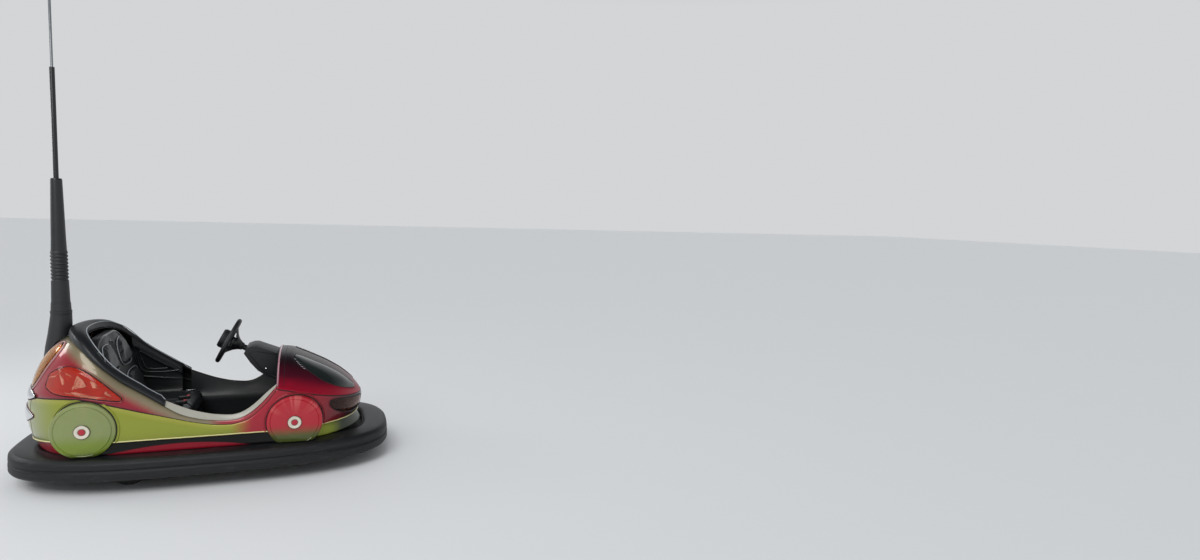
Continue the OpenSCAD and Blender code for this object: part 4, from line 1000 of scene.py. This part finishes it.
# Soft ribs, far coarser than the real weave, which is too fine to show. A diagonal wave of scale 1 repeats
# every tau / 10 metres.
RIB_MM = 30.16
weave = add_node(tree, "TexWave", {"Vector": spot, "Scale": 100 * math.tau / RIB_MM}, wave_type="BANDS",
                 bands_direction="DIAGONAL")
woven = add_node(tree, "Bump", {"Height": weave, "Distance": 0.0004, "Strength": 0.6})
tree.links.new(woven.outputs["Normal"], shader.inputs["Normal"])
buckle_abs = grained("moulded_buckle_abs", "#17181A", "#1E1F21", 0.35, 1.5, 0.03)
button_red = finish_of("red_buckle_button", "#A3161C", 0.3, Coat_Weight=0.3)[0]
STRAP, STRAP_THICK, STRAP_STAND = 0.046, 0.0024, 0.0012
# How far a belt's ends stay in from the ends of its CAD solid, and how far an end piece stands and sinks
STRAP_FROM, STRAP_TO, END_IN, END_STAND, END_SUNK = 0.014, 0.026, 0.02, 0.006, 0.003
# Sizes along, across and up
BUCKLE, BUTTON, TONGUE = (0.062, 0.036, 0.020), (0.016, 0.024, 0.006), (0.05, 0.030, 0.0035)
BUTTON_ON = 0.021
belt_low, belt_high = corners("lap_belts")


def laid(x, y, stand):
    """A point on the cushion's top."""
    hit = cushion_tree.ray_cast(Vector((x, y, 1.0)), Vector((0, 0, -1)))[0]
    return Vector((x, y, (hit.z if hit else belt_high.z) + stand))


def block(bm, size, middle):
    """Adds a block of a size round a middle point."""
    verts = bmesh.ops.create_cube(bm, size=1.0)["verts"]
    bmesh.ops.scale(bm, vec=size, verts=verts)
    bmesh.ops.translate(bm, vec=middle, verts=verts)


straps, buckles, buttons, tongues = (bmesh.new() for _ in range(4))
# Each belt's place across the car, and whether it ends in a buckle
for y, buckled in ((-0.29, False), (-0.06, True), (0.06, True), (0.29, False)):
    grid = bmesh.ops.create_grid(straps, x_segments=28, y_segments=2, size=0.5)["verts"]
    start, length = belt_low.x + STRAP_FROM, belt_high.x - belt_low.x - STRAP_FROM - STRAP_TO
    for corner in grid:
        corner.co = laid(start + length * (corner.co.x + 0.5), y + corner.co.y * STRAP, STRAP_STAND)
    end = laid(belt_high.x - END_IN, y, END_STAND - END_SUNK)
    if buckled:
        block(buckles, BUCKLE, end + Vector((0, 0, BUCKLE[2] / 2)))
        block(buttons, BUTTON, end + Vector((BUTTON_ON, 0, BUCKLE[2])))
    else:
        block(tongues, TONGUE, end + Vector((0, 0, TONGUE[2] / 2)))
bmesh.ops.solidify(straps, geom=straps.faces, thickness=STRAP_THICK)
bmesh.ops.recalc_face_normals(straps, faces=straps.faces)
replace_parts(fitted(place("lap_straps", straps, webbing)), "lap_belts")
for name, bm, finish, rounded in (("belt_buckles", buckles, buckle_abs, 0.005),
                                  ("buckle_buttons", buttons, button_red, 0.002),
                                  ("belt_tongues", tongues, chrome, 0.0012)):
    bmesh.ops.bevel(bm, geom=bm.edges, offset=rounded, segments=3, profile=0.5, affect="EDGES", material=-1)
    fitted(place(name, bm, finish))

# Steering: a wheel of moulded polyurethane with three dished spokes and a soft vinyl pad over its hub. It
# is fixed on a steel shaft, which runs in a tube from the console.
soft_grip = grained("moulded_grip_polyurethane", "#131416", "#1B1C1E", 0.45, 1.5, 0.1)
dress(soft_grip, "column_tube")
# The rim's middle and the column's rise in degrees, as in the CAD, and the rim's radius and its section's
RIM_MIDDLE, COLUMN_RISE = Vector((0.064, 0.080, 0.701)), 27.3
RIM, GRIP = 0.132, 0.0135
on_column = Matrix.Translation(RIM_MIDDLE) @ Matrix.Rotation(-math.radians(90 - COLUMN_RISE), 4, "Y")


def turned(profile, steps=48):
    """A bmesh turned from a profile of radius and height."""
    bm = bmesh.new()
    verts = [bm.verts.new((r, 0, h)) for r, h in profile]
    edges = [bm.edges.new(pair) for pair in zip(verts, verts[1:])]
    bmesh.ops.spin(bm, geom=verts + edges, cent=(0, 0, 0), axis=(0, 0, 1), angle=math.tau, steps=steps,
                   use_merge=True)
    bmesh.ops.remove_doubles(bm, verts=bm.verts, dist=0.00001)
    bmesh.ops.recalc_face_normals(bm, faces=bm.faces)
    return bm


# Dished spokes: a turned dish, by radius and height, with three openings cut in it. A spoke's half width is
# in degrees, up to each radius.
DISH = [(0.024, -0.078), (0.032, -0.060), (0.046, -0.042), (0.068, -0.027), (0.094, -0.014),
        (0.116, -0.005), (0.129, -0.001)]
SPOKE_HALF = [(0.046, 60), (0.068, 34), (0.094, 19), (0.116, 12), (0.130, 19)]
SPOKE_THICK = 0.009
bm = turned(DISH)
gone = []
for face in bm.faces:
    middle = face.calc_center_median()
    way = abs((math.degrees(math.atan2(middle.y, middle.x)) + 60) % 120 - 60)
    if way > next(half for reach, half in SPOKE_HALF if middle.xy.length < reach):
        gone.append(face)
bmesh.ops.delete(bm, geom=gone, context="FACES")
bmesh.ops.solidify(bm, geom=bm.faces, thickness=SPOKE_THICK)
spokes = place("wheel_spokes", bm, soft_grip)
section = [(RIM + GRIP * math.cos(t), GRIP * math.sin(t)) for t in turns(20)]
rim = place("wheel_rim", turned(section + section[:1], 96), soft_grip)
CONE = [(0.0, -0.090), (0.019, -0.090), (0.0225, -0.087), (0.024, -0.078), (0.030, -0.058), (0.033, -0.030),
        (0.034, -0.014), (0.0, -0.014)]
hub = place("wheel_cone", turned(CONE, 64), soft_grip)
smooth_spokes = spokes.modifiers.new("subdivision", "SUBSURF")
smooth_spokes.levels = smooth_spokes.render_levels = LEVELS
for made in (spokes, rim, hub):
    made.data.transform(on_column)
    fitted(made, "steering_wheel")
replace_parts(rim, "steering_wheel")


def bevelled(name, finish, node, width, body="chassis"):
    """A CAD node's copy with its edges rounded, which replaces it."""
    bm = merged_copy(node)
    sharp = [e for e in bm.edges if len(e.link_faces) == 2 and e.calc_face_angle() > math.radians(25)]
    bmesh.ops.bevel(bm, geom=sharp, offset=width, segments=3, profile=0.5, affect="EDGES", material=-1,
                    clamp_overlap=True)
    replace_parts(fitted(place(name, bm, finish), body), node)


horn_vinyl = grained("horn_pad_vinyl", "#17191B", "#202326", 0.5, 1.6, 0.15)
bevelled("horn_cover", horn_vinyl, "horn_pad", 0.005, "steering_wheel")
HORN = 0.0582
grooves = [[on_column @ Vector((HORN * math.cos(t), HORN * math.sin(t), h)) for t in turns(64)]
           for h in (0.014, 0.030)]
bead("horn_grooves", grooves, mastic_and_gap_shade, radius=0.0011, body="steering_wheel")

# Console: a box of the same grained ABS, screwed to the dash, with a raised panel line and a plated key lock
# on its side. The hood's tip has a latch of the same kind.
bevelled("console_box", black_abs, "console", 0.006)
low, high = corners("console")
# Shares of the console's length and height
PANEL = [(0.93, 0.10), (0.70, 0.20), (0.46, 0.40), (0.24, 0.68), (0.14, 0.80), (0.24, 0.90), (0.93, 0.74)]
LOCK_AT = (0.62, 0.36)


def on_console(share, y):
    """A point on the console's side."""
    return Vector((low.x + (high.x - low.x) * share[0], y, low.z + (high.z - low.z) * share[1]))


panel = [[on_console(share, y) for share in PANEL] for y in (low.y, high.y)]
bead("console_ribs", panel, black_abs, radius=0.0028)
# Name, radius, place, the way it faces
LOCKS = [("console_lock", 0.0075, on_console(LOCK_AT, low.y), Vector((0, -1, 0))),
         ("hood_latch", 0.012, Vector((0.8155, 0, 0.3945)), Vector((0.72, 0, 0.69)))]
# Profile as shares of the radius
LOCK = [(0, 0.4), (0.4, 0.4), (0.45, 0.3), (0.85, 0.28), (1, 0.05), (1, -0.4), (0, -0.4)]
for name, radius, seat, way in LOCKS:
    bm = turned([(r * radius, h * radius) for r, h in LOCK], 32)
    bm.transform(Matrix.Translation(seat) @ way.to_track_quat("Z", "Y").to_matrix().to_4x4())
    fitted(place(name, bm, chrome))

# Pedal: a cast block under a rubber tread with seven raised ribs, bolted to the floor. The rubber is rubbed
# dull by shoes.
pedal_rubber = grained("ribbed_pedal_rubber", "#1B1C1D", "#252627", 0.6, 2, 0.2)
bevelled("pedal_block", pedal_rubber, "pedal", 0.003)
low, high = corners("pedal")
TREAD_FOOT, TREAD_HEAD, TREAD_EDGE = Vector((0.016, 0, 0.012)), Vector((-0.008, 0, -0.001)), 0.006
ribs = [[Vector((p.x, y, p.z)) for y in (low.y + TREAD_EDGE, high.y - TREAD_EDGE)]
        for p in stepped([low + TREAD_FOOT, high + TREAD_HEAD], 6, closed=False)]
bead("pedal_ribs", ribs, pedal_rubber, radius=0.0022, closed=False)

# Pole: a flared rubber boot and bellows, a moulded sleeve, a painted steel tube, and a sprung steel rod with
# the brass shoe that takes the current.
dress(grained("mast_boot_rubber", "#1E2022", "#2A2C2E", 0.5, 3, 0.2), "pole_boot", "pole_bellows")
dress(grained("mast_sleeve_abs", "#1B1D20", "#23262A", 0.38, 2, 0.05), "pole_sleeve")
dress(grained("mast_tube_enamel", "#15171A", "#1D2023", 0.3, 5, 0.05), "pole_tube")
dress(grained("drawn_steel_rod", "#8D9094", "#74777B", 0.3, 1, 0.02, Metallic=1.0), "contact_rod")
dress(grained("rubbed_contact_brass", "#B08D4A", "#8C6E38", 0.35, 2, 0.05, Metallic=1.0), "contact_shoe")
